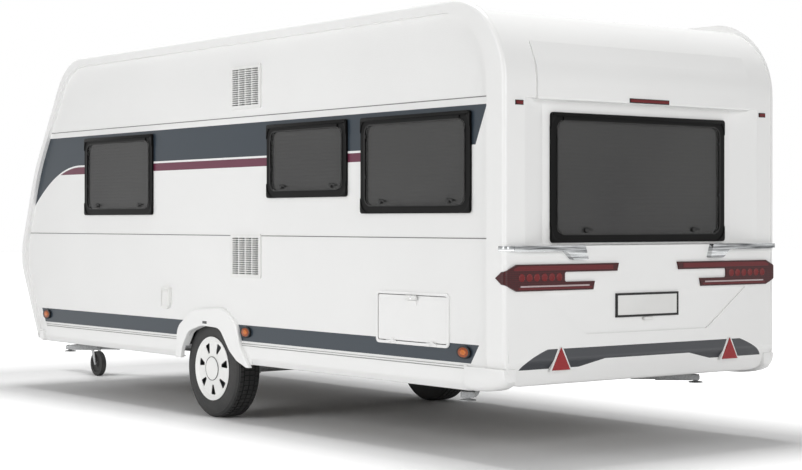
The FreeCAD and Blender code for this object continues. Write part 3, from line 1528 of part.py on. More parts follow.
def build_lamps():
    gap = d.seat_gap
    back = d.rear_face - d.edge_step / 2 + gap
    node("tail_lamps", compound("tail_lamps", corner_lamp()))

    brake = new_body("brake_lamp")
    seat = back + d.brow_proud
    slab(brake, "YZ_Plane", -seat - d.reflector_proud, -seat, lambda sketch: rectangle(
        sketch, -d.brake_lamp_half, d.brake_lamp_z, d.brake_lamp_half, d.brake_lamp_z + d.brake_lamp_high))
    small = new_body("corner_lamp")
    slab(small, "YZ_Plane", -back - d.reflector_proud, -back, lambda sketch: rectangle(
        sketch, d.corner_lamp_y - d.corner_lamp_long / 2, d.corner_lamp_z,
        d.corner_lamp_y + d.corner_lamp_long / 2,
        d.corner_lamp_z + d.brake_lamp_high))
    node("marker_lamps", compound("marker_lamps", [brake, small, mirrored(small)]))

    sides = []
    for x in (d.side_marker_front, -d.side_marker_middle, -d.side_marker_rear):
        lamp = new_body("side_marker")
        slab(lamp, "XZ_Plane", d.wall_face, d.wall_face + d.side_marker_proud,
             lambda sketch: round_hole(sketch, x, d.side_marker_z, d.side_marker_radius))
        sides += [lamp, mirrored(lamp)]
    node("side_markers", compound("side_markers", sides))

    reflector = new_body("rear_reflector")
    half = d.reflector_wide / 2
    seat = bumper_reach + d.seat_gap
    slab(reflector, "YZ_Plane", -seat - d.reflector_proud, -seat, lambda sketch: outline(sketch, [
        (d.reflector_y - half, d.reflector_low, 0.0), (d.reflector_y + half, d.reflector_low, 0.0),
        (d.reflector_y, d.reflector_low + d.reflector_high, 0.0)]))
    node("rear_reflectors", compound("rear_reflectors", [reflector, mirrored(reflector)]))

    back = d.rear_face - d.edge_step / 2 + gap
    reach = back + d.grab_out - gap
    outer = d.wall_face - d.overrun
    handle = new_body("grab_handle_left")
    slab(handle, "YZ_Plane", -reach, -back, lambda sketch: outline(sketch, [
        (outer, d.grab_high, d.grab_round), (d.grab_top_end, d.grab_high, d.grab_round),
        (d.grab_tip, d.grab_low, d.grab_round), (d.grab_palm, d.grab_low, d.grab_out),
        (d.grab_slot_inner, d.grab_wrist, d.grab_out), (outer, d.grab_wrist, d.grab_round)]))
    slot = sketch_on(handle, "XY_Plane", d.grab_low - d.overrun)
    outline(slot, [
        (-back + d.overrun, d.grab_slot_inner, 0.0), (-back + d.overrun, d.grab_slot_outer, 0.0),
        (-reach + d.grab_wall, d.grab_slot_outer, d.grab_round),
        (-reach + d.grab_wall, d.grab_slot_inner, d.grab_round)])
    pocket(handle, slot, d.grab_high - d.grab_low + 2 * d.overrun, reverse=True)
    node("grab_handles", compound("grab_handles", [handle, mirrored(handle)]))


for required in (build_door, build_flap, build_grilles, build_inlet, build_lamps):
    required()
    doc.recompute()


# Chassis

def build_rails():
    top = d.wall_bottom
    low = top - d.rail_tall
    body = new_body("chassis_rail_left")
    y0, y1 = d.rail_half, d.rail_half + d.rail_wide
    metal = d.rail_metal
    slab(body, "YZ_Plane", -d.rail_rear, d.rail_front, lambda sketch: outline(sketch, [
        (y0, low, 0.0), (y1, low, 0.0), (y1, low + metal, 0.0), (y0 + metal, low + metal, 0.0),
        (y0 + metal, top - metal, 0.0), (y1, top - metal, 0.0), (y1, top, 0.0), (y0, top, 0.0)]))
    hole = sketch_on(body, "XZ_Plane", -y1)
    round_hole(hole, -d.rail_rear + d.rail_hole_pitch, (top + low) / 2, d.rail_hole_radius)
    first = pocket(body, hole, d.rail_wide)
    doc.recompute()
    pattern = body.newObject("PartDesign::LinearPattern", "Holes")
    pattern.Originals = [first]
    pattern.Direction = (hole, ["H_Axis"])
    pattern.Occurrences = COUNTS["rail_holes"]
    run = d.rail_hole_pitch * (COUNTS["rail_holes"] - 1)
    pattern.Length = float(run)
    bind(pattern, "Length", run)
    body.Tip = pattern
    node("chassis_rails", compound("chassis_rails", [body, mirrored(body)]))

    members = []
    for name, x in (("rear", -d.cross_rear), ("middle", -d.cross_middle), ("front", d.cross_front)):
        member = new_body("cross_member_" + name)
        slab(member, "XZ_Plane", -d.rail_half, d.rail_half, lambda sketch: outline(sketch, [
            (x, low + metal, 0.0), (x + d.cross_wide, low + metal, 0.0), (x + d.cross_wide,
                low + 2 * metal, 0.0),
            (x + metal, low + 2 * metal, 0.0), (x + metal, top - metal, 0.0), (x, top - metal, 0.0)]))
        members.append(member)
    node("cross_members", compound("cross_members", members))


def build_drawbar():
    body = new_body("drawbar_left")
    low, high = d.drawbar_low, d.drawbar_low + d.drawbar_tall
    wide = d.drawbar_wide
    root = d.rail_half + d.rail_wide + d.seat_gap
    slab(body, "XY_Plane", low, high, lambda sketch: outline(sketch, drawbar_line(Dim.lift(0.0))))
    inset = d.drawbar_metal
    hollow = sketch_on(body, "XY_Plane", high - inset)
    outline(hollow, [
        (d.drawbar_root - d.overrun, root + inset, 0.0), (d.rail_front + inset, root + inset, 0.0),
        (d.drawbar_tip + d.overrun, d.housing_half + d.seat_gap, 0.0),
        (d.drawbar_tip + d.overrun, d.housing_half + wide - 2 * inset, 0.0),
        (d.rail_front + wide, root + wide + d.overrun, 0.0),
        (d.drawbar_root - d.overrun, root + wide + d.overrun, 0.0)])
    pocket(body, hollow, d.drawbar_tall - 2 * inset)
    node("drawbar_arms", compound("drawbar_arms", [body, mirrored(body)]))


ARM_ROUND_SHARE = 0.9
ARM_STUB_SHARE = 0.8


def build_axle():
    tube = rod("axle_bar", (d.axle_ahead, -d.axle_half, d.axle_height), d.axle_radius, 2 * d.axle_half,
               Vector(0, 1, 0))
    pieces = [tube]
    for side in (1, -1):
        y0 = side * (d.rail_half + d.rail_wide + d.seat_gap)
        y1 = y0 + side * 2 * d.rail_metal
        low_y, high_y = (y0, y1) if side > 0 else (y1, y0)
        pieces.append(block("axle_bracket", (d.axle_ahead - 2 * d.axle_radius, low_y,
            d.axle_height - d.axle_radius),
                            (d.axle_ahead + 2 * d.axle_radius, high_y, d.wall_bottom - d.seat_gap)))
    node("axle_tube", fuse("axle_tube", pieces))

    arm = new_body("swing_arm_left")
    y0, y1 = d.arm_inner, d.arm_inner + d.arm_thick
    front = d.axle_ahead + d.arm_boss
    eye_round, boss_round = d.arm_eye * ARM_ROUND_SHARE, d.arm_boss * ARM_ROUND_SHARE
    slab(arm, "XZ_Plane", y0, y1, lambda sketch: outline(sketch, [
        (-d.arm_eye, d.hub_height - d.arm_eye, eye_round), (front, d.axle_height - d.arm_boss, boss_round),
        (front, d.axle_height + d.arm_boss, boss_round), (-d.arm_eye, d.hub_height + d.arm_eye, eye_round)]))
    slab(arm, "XZ_Plane", d.axle_half + d.seat_gap, y0,
         lambda sketch: round_hole(sketch, d.axle_ahead, d.axle_height, d.axle_radius * ARM_STUB_SHARE))
    slab(arm, "XZ_Plane", y1, y1 + d.backplate_thick,
         lambda sketch: round_hole(sketch, Dim.lift(0.0), d.hub_height, d.plate_radius))
    slab(arm, "XZ_Plane", y1 + d.backplate_thick, d.tyre_centre + d.rim_disc_out,
         lambda sketch: round_hole(sketch, Dim.lift(0.0), d.hub_height, d.stub_radius))
    node("swing_arms", compound("swing_arms", [arm, mirrored(arm)]))


# Road wheels, drawn about their own hub with the outside towards +Y

# Section of the tyre: place across as a share of half the width, then place and
# roundness as shares of the tyre's wall.
TYRE_SHARES = (
    (-0.8, 0.0, 0.0), (-1.0, 0.3, 0.25), (-1.0, 0.62, 0.25), (-0.76, 1.0, 0.15), (0.76, 1.0, 0.15),
    (1.0, 0.62, 0.25), (1.0, 0.3, 0.25), (0.8, 0.0, 0.0), (0.657, 0.0, 0.0), (0.85, 0.45, 0.0),
    (0.6, 0.9, 0.0), (-0.6, 0.9, 0.0), (-0.85, 0.45, 0.0), (-0.657, 0.0, 0.0),
)


def tyre():
    body = new_body("tyre")
    sketch = sketch_on(body, "YZ_Plane")
    half = d.tyre_width / 2
    wall = d.tyre_outer - d.tyre_bead
    corners = []
    for across, up, roundness in TYRE_SHARES:
        corners.append((half * across, d.tyre_bead + wall * up, wall * roundness))
    outline(sketch, corners)
    revolve(body, sketch)
    return body


def rim():
    """Steel rim with its drum, revolved in one piece."""
    body = new_body("rim")
    sketch = sketch_on(body, "YZ_Plane")
    half = d.rim_half
    metal = d.rim_metal
    bead = d.tyre_bead - d.seat_gap
    face = d.rim_disc_out
    drum_inner = d.arm_inner + d.arm_thick + d.backplate_thick - d.tyre_centre + d.seat_gap * 10
    outline(sketch, [
        (-half, bead - metal, 0.0), (-half, bead, 0.0), (-half * 0.55, bead, 0.0),
        (-half * 0.35, d.rim_well, 0.0), (half * 0.3, d.rim_well, 0.0), (half * 0.55, bead, 0.0),
        (half, bead, 0.0), (half, bead - metal, 0.0), (half * 0.6, bead - metal, 0.0),
        (face + metal, d.rim_well - 3 * metal, 0.0), (face + metal, d.drum_radius, 0.0),
        (face - metal, d.rim_hub, 0.0), (face - metal, d.stub_radius + d.seat_gap, 0.0),
        (face - 3 * metal, d.stub_radius + d.seat_gap, 0.0), (face - 3 * metal, d.rim_hub, 0.0),
        (face - 2 * metal, d.drum_radius - metal, 0.0), (drum_inner, d.drum_radius - metal, 0.0),
        (drum_inner, d.drum_radius, 0.0), (face - metal, d.drum_radius, 0.0),
        (face - metal, d.rim_well - 3 * metal, 0.0), (half * 0.3 - metal, d.rim_well - metal, 0.0),
        (-half * 0.35, d.rim_well - metal, 0.0), (-half * 0.6, bead - metal, 0.0)])
    revolve(body, sketch)
    return body


FLANK_SLOPE_SHARE = 0.45
SLOT_TAPER_SHARE = 0.3


def trim():
    """Dished wheel cover with seven slots and a plain centre cap."""
    body = new_body("trim")
    sketch = sketch_on(body, "YZ_Plane")
    rim_edge = d.rim_half + d.seat_gap
    crown = d.trim_crown
    thick = d.trim_thick
    seat = d.tyre_bead - d.rim_metal
    flank = rim_edge + (d.trim_radius - seat) * FLANK_SLOPE_SHARE
    dish = d.slot_inner - 2 * thick
    outline(sketch, [
        (flank, d.trim_radius, 0.0), (rim_edge, d.tyre_bead - d.seat_gap, 0.0), (rim_edge, seat, 0.0),
        (crown - 2 * thick, dish, 0.0), (crown - 2 * thick, 0.0, 0.0), (crown + thick / 2, 0.0, 0.0),
        (crown + thick / 2, d.trim_cap - thick, 0.0), (crown, d.trim_cap, 0.0), (crown - thick, dish, 0.0),
        (rim_edge + thick, seat, 0.0), (flank + thick, d.trim_radius - thick, 0.0),
        (flank + thick, d.trim_radius, 0.0)])
    revolve(body, sketch)
    doc.recompute()
    slots = sketch_on(body, "XZ_Plane", -crown - d.overrun)
    half = d.slot_wide / 2
    narrow = half * SLOT_TAPER_SHARE
    outline(slots, [
        (-narrow, -d.slot_inner, narrow / 2), (narrow, -d.slot_inner, narrow / 2),
        (half, -d.slot_outer, narrow), (-half, -d.slot_outer, narrow)])
    first = pocket(body, slots, d.overrun + crown)
    doc.recompute()
    pattern = body.newObject("PartDesign::PolarPattern", "Ring")
    pattern.Originals = [first]
    pattern.Axis = (slots, ["N_Axis"])
    pattern.Angle = 360.0
    pattern.Occurrences = COUNTS["trim_slots"]
    body.Tip = pattern
    return body


def build_wheels():
    for side, sign in (("left", 1), ("right", -1)):
        for kind, make in (("tyre", tyre), ("rim", rim), ("trim", trim)):
            piece = make()
            if sign < 0:
                piece = mirrored(piece)
                piece = compound("wheel_%s_%s" % (kind, side), [piece])
            node("wheel_%s_%s" % (kind, side), piece, 0.0, sign * d.tyre_centre, d.hub_height)


# Coupling and handbrake

LUG_SHARE = 0.6
HEAD_NOSE_SHARE = 0.75


def build_coupling():
    housing = new_body("overrun_housing")
    low, high, half = d.housing_low, d.housing_high, d.housing_half
    slab(housing, "XZ_Plane", -half, half, lambda sketch: outline(sketch, [
        (d.housing_rear, low, 0.0), (d.housing_front, low + half / 2, 0.0), (d.housing_front,
            high - half / 2, 0.0),
        (d.housing_front - half, high, 0.0), (d.housing_rear, high, 0.0)]))
    doc.recompute()
    tube = rod("drawbar_tube", (d.housing_front, 0.0, d.coupling_height), d.tube_radius,
               d.tube_front - d.housing_front, Vector(1, 0, 0))
    gaiter = rod("gaiter", (d.housing_front, 0.0, d.coupling_height), d.gaiter_radius,
                 d.head_rear - d.housing_front - d.overrun, Vector(1, 0, 0))
    lug = rod("brake_lug", (d.brake_x, d.brake_y + d.brake_thick / 2 + d.running_gap / 10, d.brake_z),
              d.brake_hub_radius * LUG_SHARE, -d.brake_y - d.brake_thick / 2 - d.running_gap / 10,
              Vector(0, 1, 0))
    foot = block("brake_foot", (d.brake_x - d.brake_hub_radius, -half, high - d.brake_hub_radius),
                 (d.brake_x + d.brake_hub_radius, half, d.brake_z + d.brake_hub_radius))
    node("overrun_housing", fuse("overrun_housing", [housing, tube, gaiter, lug, foot]))

    head = new_body("coupling_head")
    half, high = d.head_half, d.head_high
    z = d.coupling_height
    slab(head, "XZ_Plane", -half, half, lambda sketch: outline(sketch, [
        (d.head_rear, z - d.tube_radius - d.ball_shell, 0.0), (d.head_rear,
            z + d.tube_radius + d.ball_shell, 0.0),
        (d.ball_ahead - half, z + high, d.overrun), (d.front_reach, z + high * HEAD_NOSE_SHARE, d.overrun),
        (d.front_reach, z - d.tube_radius - d.ball_shell, 0.0)]))
    bore = sketch_on(head, "YZ_Plane", d.head_rear - d.overrun)
    round_hole(bore, Dim.lift(0.0), z, d.tube_radius + d.seat_gap)
    pocket(head, bore, d.tube_front + d.seat_gap - d.head_rear + d.overrun, reverse=True)
    doc.recompute()
    cup = sketch_on(head, "XY_Plane", z - d.tube_radius - 2 * d.ball_shell)
    round_hole(cup, d.ball_ahead, Dim.lift(0.0), d.ball_radius + d.seat_gap)
    pocket(head, cup, d.tube_radius + 2 * d.ball_shell + d.ball_radius, reverse=True)
    grip = new_body("coupling_grip")
    slab(grip, "XZ_Plane", -half / 2, half / 2, lambda sketch: outline(sketch, [
        (d.ball_ahead - half, z + high - d.ball_shell, 0.0), (d.ball_ahead, z + high - d.ball_shell, 0.0),
        (d.ball_ahead - half, z + d.handle_rise + d.ball_shell, d.ball_shell),
        (d.ball_ahead - d.handle_long, z + d.handle_rise + 2 * d.ball_shell, 0.0),
        (d.ball_ahead - d.handle_long, z + d.handle_rise, 0.0),
        (d.ball_ahead - 2 * half, z + d.handle_rise - d.ball_shell, d.ball_shell)]))
    node("coupling_head", fuse("coupling_head", [head, grip]))


LEVER_BAR_SHARE = 0.6
LEVER_GRIP_SHARE = 0.7


def build_handbrake():
    x, y, z = d.brake_x, d.brake_y, d.brake_z
    hub = rod("lever_hub", (x, y - d.brake_thick / 2, z), d.brake_hub_radius, d.brake_thick, Vector(0, 1, 0))
    bar = rod("lever_bar", (x, y, z), d.brake_radius * LEVER_BAR_SHARE,
        d.brake_long - d.brake_grip_long, Vector(1, 0, 0))
    grip = rod("lever_grip", (x + d.brake_long - d.brake_grip_long, y, z),
        d.brake_radius * LEVER_GRIP_SHARE, d.brake_grip_long,
               Vector(1, 0, 0))
    node("handbrake_lever", fuse("handbrake_lever", [hub, bar, grip]))


# Jockey wheel

CRANK_RISE_SHARE = 0.6


def build_jockey():
    x, y = d.jockey_x, d.jockey_y
    up = Vector(0, 0, 1)
    outer = rod("jockey_sleeve", (x, y, d.jockey_tube_low), d.jockey_tube,
                d.jockey_tube_high - d.jockey_tube_low, up)
    bore = rod("jockey_sleeve_bore", (x, y, d.jockey_tube_low - d.overrun),
        d.jockey_tube - d.jockey_tube_wall,
               d.jockey_tube_high - d.jockey_tube_low + d.overrun - 2 * d.jockey_tube_wall, up)
    sleeve = boolean("Cut", "jockey_sleeve_open", outer, bore)
    reach = y - d.jockey_tube + d.jockey_tube_wall / 2
    arm = block("jockey_clamp", (x - d.jockey_clamp_wide, d.housing_half + d.seat_gap,
                                 d.drawbar_low + d.drawbar_metal + d.seat_gap),
                (x + d.jockey_clamp_wide, reach,
                    d.drawbar_low + d.drawbar_tall - d.drawbar_metal - d.seat_gap))
    shaft = rod("jockey_crank_shaft", (x, y, d.jockey_tube_high - d.jockey_tube_wall), d.jockey_tube / 4,
                d.jockey_tube, up)
    crank = rod("jockey_crank", (x, y, d.jockey_tube_high + d.jockey_tube * CRANK_RISE_SHARE),
        d.jockey_tube / 5, d.jockey_crank,
                Vector(-1, 0, 0))
    knob = rod("jockey_knob", (x - d.jockey_crank + d.jockey_tube / 5, y,
        d.jockey_tube_high + d.jockey_tube * CRANK_RISE_SHARE),
               d.jockey_tube / 3, 2 * d.jockey_tube, up)
    node("jockey_outer_tube", fuse("jockey_outer_tube", [sleeve, arm, shaft, crank, knob]))

    slide = d.jockey_tube - d.jockey_tube_wall - d.seat_gap
    inner = rod("jockey_inner_tube", (x, y, d.jockey_inner_low), slide,
                d.jockey_inner_high - d.jockey_inner_low, up)
    collar = rod("jockey_collar", (x, y, d.jockey_inner_low), d.jockey_tube,
                 2 * d.jockey_tube_wall, up)
    node("jockey_inner_tube", fuse("jockey_inner_tube_part", [inner, collar]))

    radius = d.jockey_wheel_radius
    half = d.jockey_wheel_wide / 2 + d.jockey_fork_gap
    metal = d.jockey_fork_metal
    top = d.jockey_inner_low - d.seat_gap
    fork = new_body("jockey_fork")
    slab(fork, "XZ_Plane", y - half - metal, y + half + metal, lambda sketch: outline(sketch, [
        (x - d.jockey_trail - 3 * metal, radius - 3 * metal, 2 * metal),
        (x - d.jockey_trail + 3 * metal, radius - 3 * metal, 2 * metal),
        (x + slide, top, 0.0), (x - slide - 2 * metal, top, 0.0)]))
    slot = sketch_on(fork, "XZ_Plane", -y - half)
    rectangle(slot, x - 2 * radius, radius - 2 * radius, x + 2 * radius, top - 2 * metal)
    pocket(fork, slot, 2 * half)
    doc.recompute()
    pin = rod("jockey_axle", (x - d.jockey_trail, y - half - metal, radius), 2 * metal, 2 * half + 2 * metal,
              Vector(0, 1, 0))
    node("jockey_fork", fuse("jockey_fork_part", [fork, pin]))

    wheel = new_body("jockey_wheel")
    sketch = sketch_on(wheel, "YZ_Plane")
    half = d.jockey_wheel_wide / 2
    bore = 2 * metal + d.seat_gap
    outline(sketch, [
        (-half, bore, 0.0), (half, bore, 0.0), (half, 0.25 * radius, 0.0), (0.5 * half, 0.3 * radius, 0.0),
        (0.5 * half, 0.68 * radius, 0.0), (half, 0.74 * radius, 0.0), (half, radius, 0.3 * half),
        (-half, radius, 0.3 * half), (-half, 0.74 * radius, 0.0), (-0.5 * half, 0.68 * radius, 0.0),
        (-0.5 * half, 0.3 * radius, 0.0), (-half, 0.25 * radius, 0.0)])
    revolve(wheel, sketch)
    node("jockey_wheel", wheel, x - d.jockey_trail, y, radius)


# Corner steadies

def steady_leg(name):
    """Folded leg lying along +X from its pivot, foot at the far end."""
    leg = new_body(name + "_channel")
    half, metal = d.steady_wide / 2, d.steady_metal
    slab(leg, "XZ_Plane", -half, half, lambda sketch: outline(sketch, [
        (-d.steady_eye, -d.steady_eye, d.steady_eye * EAR_ROUND_SHARE), (d.steady_long, -d.steady_eye, 0.0),
        (d.steady_long, d.steady_eye * 0.4, 0.0), (-d.steady_eye, d.steady_eye,
            d.steady_eye * EAR_ROUND_SHARE)]))
    hollow = sketch_on(leg, "XZ_Plane", metal - half)
    rectangle(hollow, -2 * d.steady_eye, metal - d.steady_eye, d.steady_long - metal, 2 * d.steady_eye)
    pocket(leg, hollow, d.steady_wide - 2 * metal)
    bore = sketch_on(leg, "XZ_Plane", -half)
    round_hole(bore, Dim.lift(0.0), Dim.lift(0.0), d.steady_pin + d.seat_gap)
    pocket(leg, bore, d.steady_wide)
    doc.recompute()
    foot = block(name + "_foot", (d.steady_long, -d.steady_foot, -d.steady_eye),
                 (d.steady_long + metal, d.steady_foot, d.steady_eye))
    return fuse(name + "_leg", [leg, foot])


EAR_ROUND_SHARE = 0.6


def steady_bracket(name):
    """Ears with a pin under the floor, about the leg's pivot."""
    half = d.steady_wide / 2 + d.seat_gap
    ear = d.steady_ear
    rise = d.wall_bottom - d.steady_pivot_z - d.seat_gap
    pieces = []
    for side in (1, -1):
        body = new_body(name + "_ear")
        low, high = (half, half + ear) if side > 0 else (-half - ear, -half)
        slab(body, "XZ_Plane", low, high, lambda sketch: outline(sketch, [
            (-d.steady_eye, -d.steady_eye, d.steady_eye * EAR_ROUND_SHARE), (d.steady_eye,
                -d.steady_eye, d.steady_eye * EAR_ROUND_SHARE),
            (3 * d.steady_eye, rise, 0.0), (-3 * d.steady_eye, rise, 0.0)]))
        pieces.append(body)
    pieces.append(rod(name + "_pin", (0.0, -half - ear, 0.0), d.steady_pin, 2 * half + 2 * ear,
        Vector(0, 1, 0)))
    pieces.append(block(name + "_roof", (-3 * d.steady_eye, -half - ear, rise - ear),
                        (3 * d.steady_eye, half + ear, rise)))
    return fuse(name + "_bracket", pieces)


STEADIES = {
    "rear_left": (-d.steady_rear_x, d.steady_rear_y, 135.0),
    "rear_right": (-d.steady_rear_x, -d.steady_rear_y, -135.0),
    "front_left": (d.steady_front_x, d.steady_front_y, 45.0),
    "front_right": (d.steady_front_x, -d.steady_front_y, -45.0),
}


def build_steadies():
    brackets = []
    for name, (x, y, heading) in STEADIES.items():
        rotation = FreeCAD.Rotation(Vector(0, 0, 1), heading)
        leg = steady_leg("steady_" + name)
        node("steady_leg_" + name, leg, x, y, d.steady_pivot_z, rotation)
        brackets.append(locate(steady_bracket("steady_" + name), x, y, d.steady_pivot_z, rotation))
    node("steady_brackets", compound("steady_brackets", brackets))


# Roof hatches

HATCH_HINGE_SHARES = (-0.35, 0.2)


LID_CROWN_SHARE = 0.6


def build_hatches():
    roof = d.edge_top - d.roof_drop
    frames = []
    for name, (x, length, wide) in zip(("large", "small"), hatch_places()):
        frame = new_body("hatch_frame_" + name)
        grow = d.hatch_frame
        slab(frame, "XY_Plane", roof - d.wall_thick, roof, lambda sketch: rectangle(
            sketch, x - length / 2, -wide / 2, x + length / 2, wide / 2, d.hatch_radius))
        slab(frame, "XY_Plane", roof, roof + d.hatch_rise, lambda sketch: rectangle(
            sketch, x - length / 2 - grow, -wide / 2 - grow, x + length / 2 + grow, wide / 2 + grow,
            d.hatch_radius + grow))
        shaft = sketch_on(frame, "XY_Plane", roof + d.hatch_rise)
        inset = d.hatch_frame / 2
        rectangle(shaft, x - length / 2 + inset, inset - wide / 2, x + length / 2 - inset, wide / 2 - inset,
                  d.hatch_radius - inset)
        pocket(frame, shaft, d.wall_thick + d.hatch_rise)

        lid = new_body("roof_hatch_lid_" + name)
        base = roof + d.hatch_rise + d.seat_gap
        grow = d.hatch_lid_over
        dome = slab(lid, "XY_Plane", base, base + d.hatch_lid_rise, lambda sketch: rectangle(
            sketch, x - length / 2 - grow, -wide / 2 - grow, x + length / 2 + grow, wide / 2 + grow,
            d.hatch_radius + grow))
        doc.recompute()
        crown = lid.newObject("PartDesign::Chamfer", "Crown")
        crown.Base = (dome, [top_face(dome.Shape)])
        crown.Size = float(d.hatch_lid_rise * LID_CROWN_SHARE)
        bind(crown, "Size", d.hatch_lid_rise * LID_CROWN_SHARE)
        doc.recompute()
        radius, long = d.hatch_knuckle_radius, d.hatch_knuckle_long
        axis_x = x + length / 2 + grow + radius + d.seat_gap
        axis_z = base + radius
        hung, fixed = [lid], [frame]
        for share in HATCH_HINGE_SHARES:
            y = share * wide
            hung.append(rod("hatch_knuckle", (axis_x, y, axis_z), radius, long, Vector(0, 1, 0)))
            hung.append(block("hatch_leaf", (axis_x - 3 * radius, y, base), (axis_x, y + long, axis_z)))
            for start in (y - long - d.seat_gap, y + long + d.seat_gap):
                fixed.append(rod("hatch_frame_knuckle", (axis_x, start, axis_z), radius, long, Vector(0,
                    1, 0)))
                fixed.append(block("hatch_foot", (axis_x - radius / 2, start, base - radius),
                                   (axis_x + radius, start + long, axis_z)))
        node("roof_hatch_lid_" + name, fuse("roof_hatch_hung_" + name, hung))
        frames.append(fuse("hatch_frame_hung_" + name, fixed))
    node("roof_hatch_frames", compound("roof_hatch_frames", frames))


def top_face(shape):
    """Name of the highest flat face."""
    heights = [face.CenterOfMass.z for face in shape.Faces]
    return "Face%d" % (heights.index(max(heights)) + 1)


for required in (build_rails, build_drawbar, build_axle, build_wheels, build_coupling, build_handbrake,
    build_jockey,
                 build_steadies, build_hatches):
    required()
    doc.recompute()

# Every object has to be sound before anything is written.

faults = [obj.Name for obj in doc.Objects if "Invalid" in obj.State or "Error" in obj.State]
for name, obj in NODES.items():
    if obj.Shape.isNull() or not obj.Shape.isValid() or obj.Shape.Volume <= 0:
        faults.append(name)
if faults:
    raise RuntimeError("failed objects: " + ", ".join(faults))

os.makedirs("parts", exist_ok=True)
for name, obj in NODES.items():
    obj.Shape.exportStep("parts/%s.step" % name)
    print(name, len(obj.Shape.Solids), round(obj.Shape.Volume / 1e6, 3))
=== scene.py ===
import math

import bpy
from mathutils import Matrix, Vector


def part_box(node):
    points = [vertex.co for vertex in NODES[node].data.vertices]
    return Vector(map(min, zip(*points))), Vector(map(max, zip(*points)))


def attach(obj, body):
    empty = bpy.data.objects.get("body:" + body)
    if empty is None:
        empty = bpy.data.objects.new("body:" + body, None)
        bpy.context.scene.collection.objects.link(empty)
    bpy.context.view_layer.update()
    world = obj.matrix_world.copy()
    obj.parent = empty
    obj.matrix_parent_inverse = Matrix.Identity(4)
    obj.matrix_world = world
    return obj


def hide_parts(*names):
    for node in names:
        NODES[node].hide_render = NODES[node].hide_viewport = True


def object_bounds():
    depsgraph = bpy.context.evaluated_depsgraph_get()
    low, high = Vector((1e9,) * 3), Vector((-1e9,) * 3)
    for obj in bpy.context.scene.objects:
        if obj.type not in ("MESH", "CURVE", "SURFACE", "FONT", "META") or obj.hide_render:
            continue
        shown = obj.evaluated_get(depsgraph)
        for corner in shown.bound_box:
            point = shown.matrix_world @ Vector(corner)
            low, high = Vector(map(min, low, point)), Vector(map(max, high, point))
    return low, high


bl_info = {
    "name": "Travel caravan",
    "version": (1, 0, 0),
    "blender": (4, 5, 0),
    "location": "View3D > Sidebar > Caravan",
    "description": "Finishes, trim, lamps, windows and wheels of a travel caravan on its CAD frame",
    "category": "Object",
}

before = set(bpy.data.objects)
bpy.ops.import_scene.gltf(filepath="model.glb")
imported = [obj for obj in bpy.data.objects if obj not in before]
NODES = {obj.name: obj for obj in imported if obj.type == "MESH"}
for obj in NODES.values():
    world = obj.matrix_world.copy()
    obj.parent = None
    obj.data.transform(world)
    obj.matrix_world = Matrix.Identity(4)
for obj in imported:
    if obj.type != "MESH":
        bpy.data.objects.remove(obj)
CAD_LOW, CAD_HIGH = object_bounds()
ROOT = "caravan"
MIRROR = Matrix.Diagonal((1.0, -1.0, 1.0, 1.0))


def measure(low, high):
    """Middle and size of a box."""
    return (low + high) / 2, high - low


def span(node):
    """Middle and size of a CAD node."""
    return measure(*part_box(node))


def outer_face(low, high):
    """Side of the caravan that a box is on, 1 or -1, and the box's outer face."""
    return (1, high.y) if low.y > 0 else (-1, low.y)


AXLE = span("wheel_tyre_left")[0].x
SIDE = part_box("side_wall_left")[1].y


# Modelling helpers

def deselect():
    if bpy.context.mode != "OBJECT":
        bpy.ops.object.mode_set(mode="OBJECT")
    bpy.ops.object.select_all(action="DESELECT")


def hold(piece):
    """Select one piece and make it active."""
    deselect()
    piece.select_set(True)
    bpy.context.view_layer.objects.active = piece


def edit(piece, action="SELECT", kind="VERT"):
    """Open a piece for editing with all of it selected, or none."""
    hold(piece)
    bpy.ops.object.mode_set(mode="EDIT")
    bpy.ops.mesh.select_mode(type=kind)
    bpy.ops.mesh.select_all(action=action)


def shut():
    bpy.ops.object.mode_set(mode="OBJECT")


def settle(piece):
    """Put a piece's place, turn and scale into its mesh."""
    hold(piece)
    bpy.ops.object.transform_apply(location=True, rotation=True, scale=True)
    return piece


def close_up(piece, distance=0.00002):
    """Merge doubles and point the faces outwards."""
    edit(piece)
    bpy.ops.mesh.remove_doubles(threshold=distance)
    bpy.ops.mesh.normals_make_consistent(inside=False)
    shut()
    return piece


def bevel(piece, width, segments=2, limit=30.0):
    """Round a piece's sharp edges."""
    hold(piece)
    item = piece.modifiers.new("Edges", "BEVEL")
    item.width = width
    item.segments = segments
    item.limit_method = "ANGLE"
    item.angle_limit = math.radians(limit)
    bpy.ops.object.modifier_apply(modifier=item.name)
    return piece


def added(name, edge, segments=2):
    """Name the piece just added, settle it and round its edges."""
    piece = bpy.context.object
    piece.name = name
    settle(piece)
    return bevel(piece, edge, segments) if edge > 0.0 else piece


def box(name, middle, size, turn=(0.0, 0.0, 0.0), edge=0.0, segments=2):
    """Block at a place, with its edges rounded."""
    deselect()
    bpy.ops.mesh.primitive_cube_add(size=1.0, location=middle, rotation=turn)
    bpy.context.object.scale = size
    return added(name, edge, segments)


def rod(name, start, end, radius, sides=24, edge=0.0):
    """Round bar between two places."""
    start, end = Vector(start), Vector(end)
    along = end - start
    deselect()
    bpy.ops.mesh.primitive_cylinder_add(vertices=sides, radius=radius, depth=along.length,
                                        location=(start + end) / 2,
                                        rotation=along.to_track_quat("Z", "Y").to_euler())
    return added(name, edge)


def run(name, places):
    """Edges drawn from place to place, started from one merged plane."""
    deselect()
    bpy.ops.mesh.primitive_plane_add(size=0.01, location=places[0])
    piece = bpy.context.object
    piece.name = name
    edit(piece)
    bpy.ops.mesh.merge(type="CENTER")
    for before, after in zip(places, places[1:]):
        step = Vector(after) - Vector(before)
        bpy.ops.mesh.extrude_region_move(TRANSFORM_OT_translate={"value": step})
    shut()
    return settle(piece)


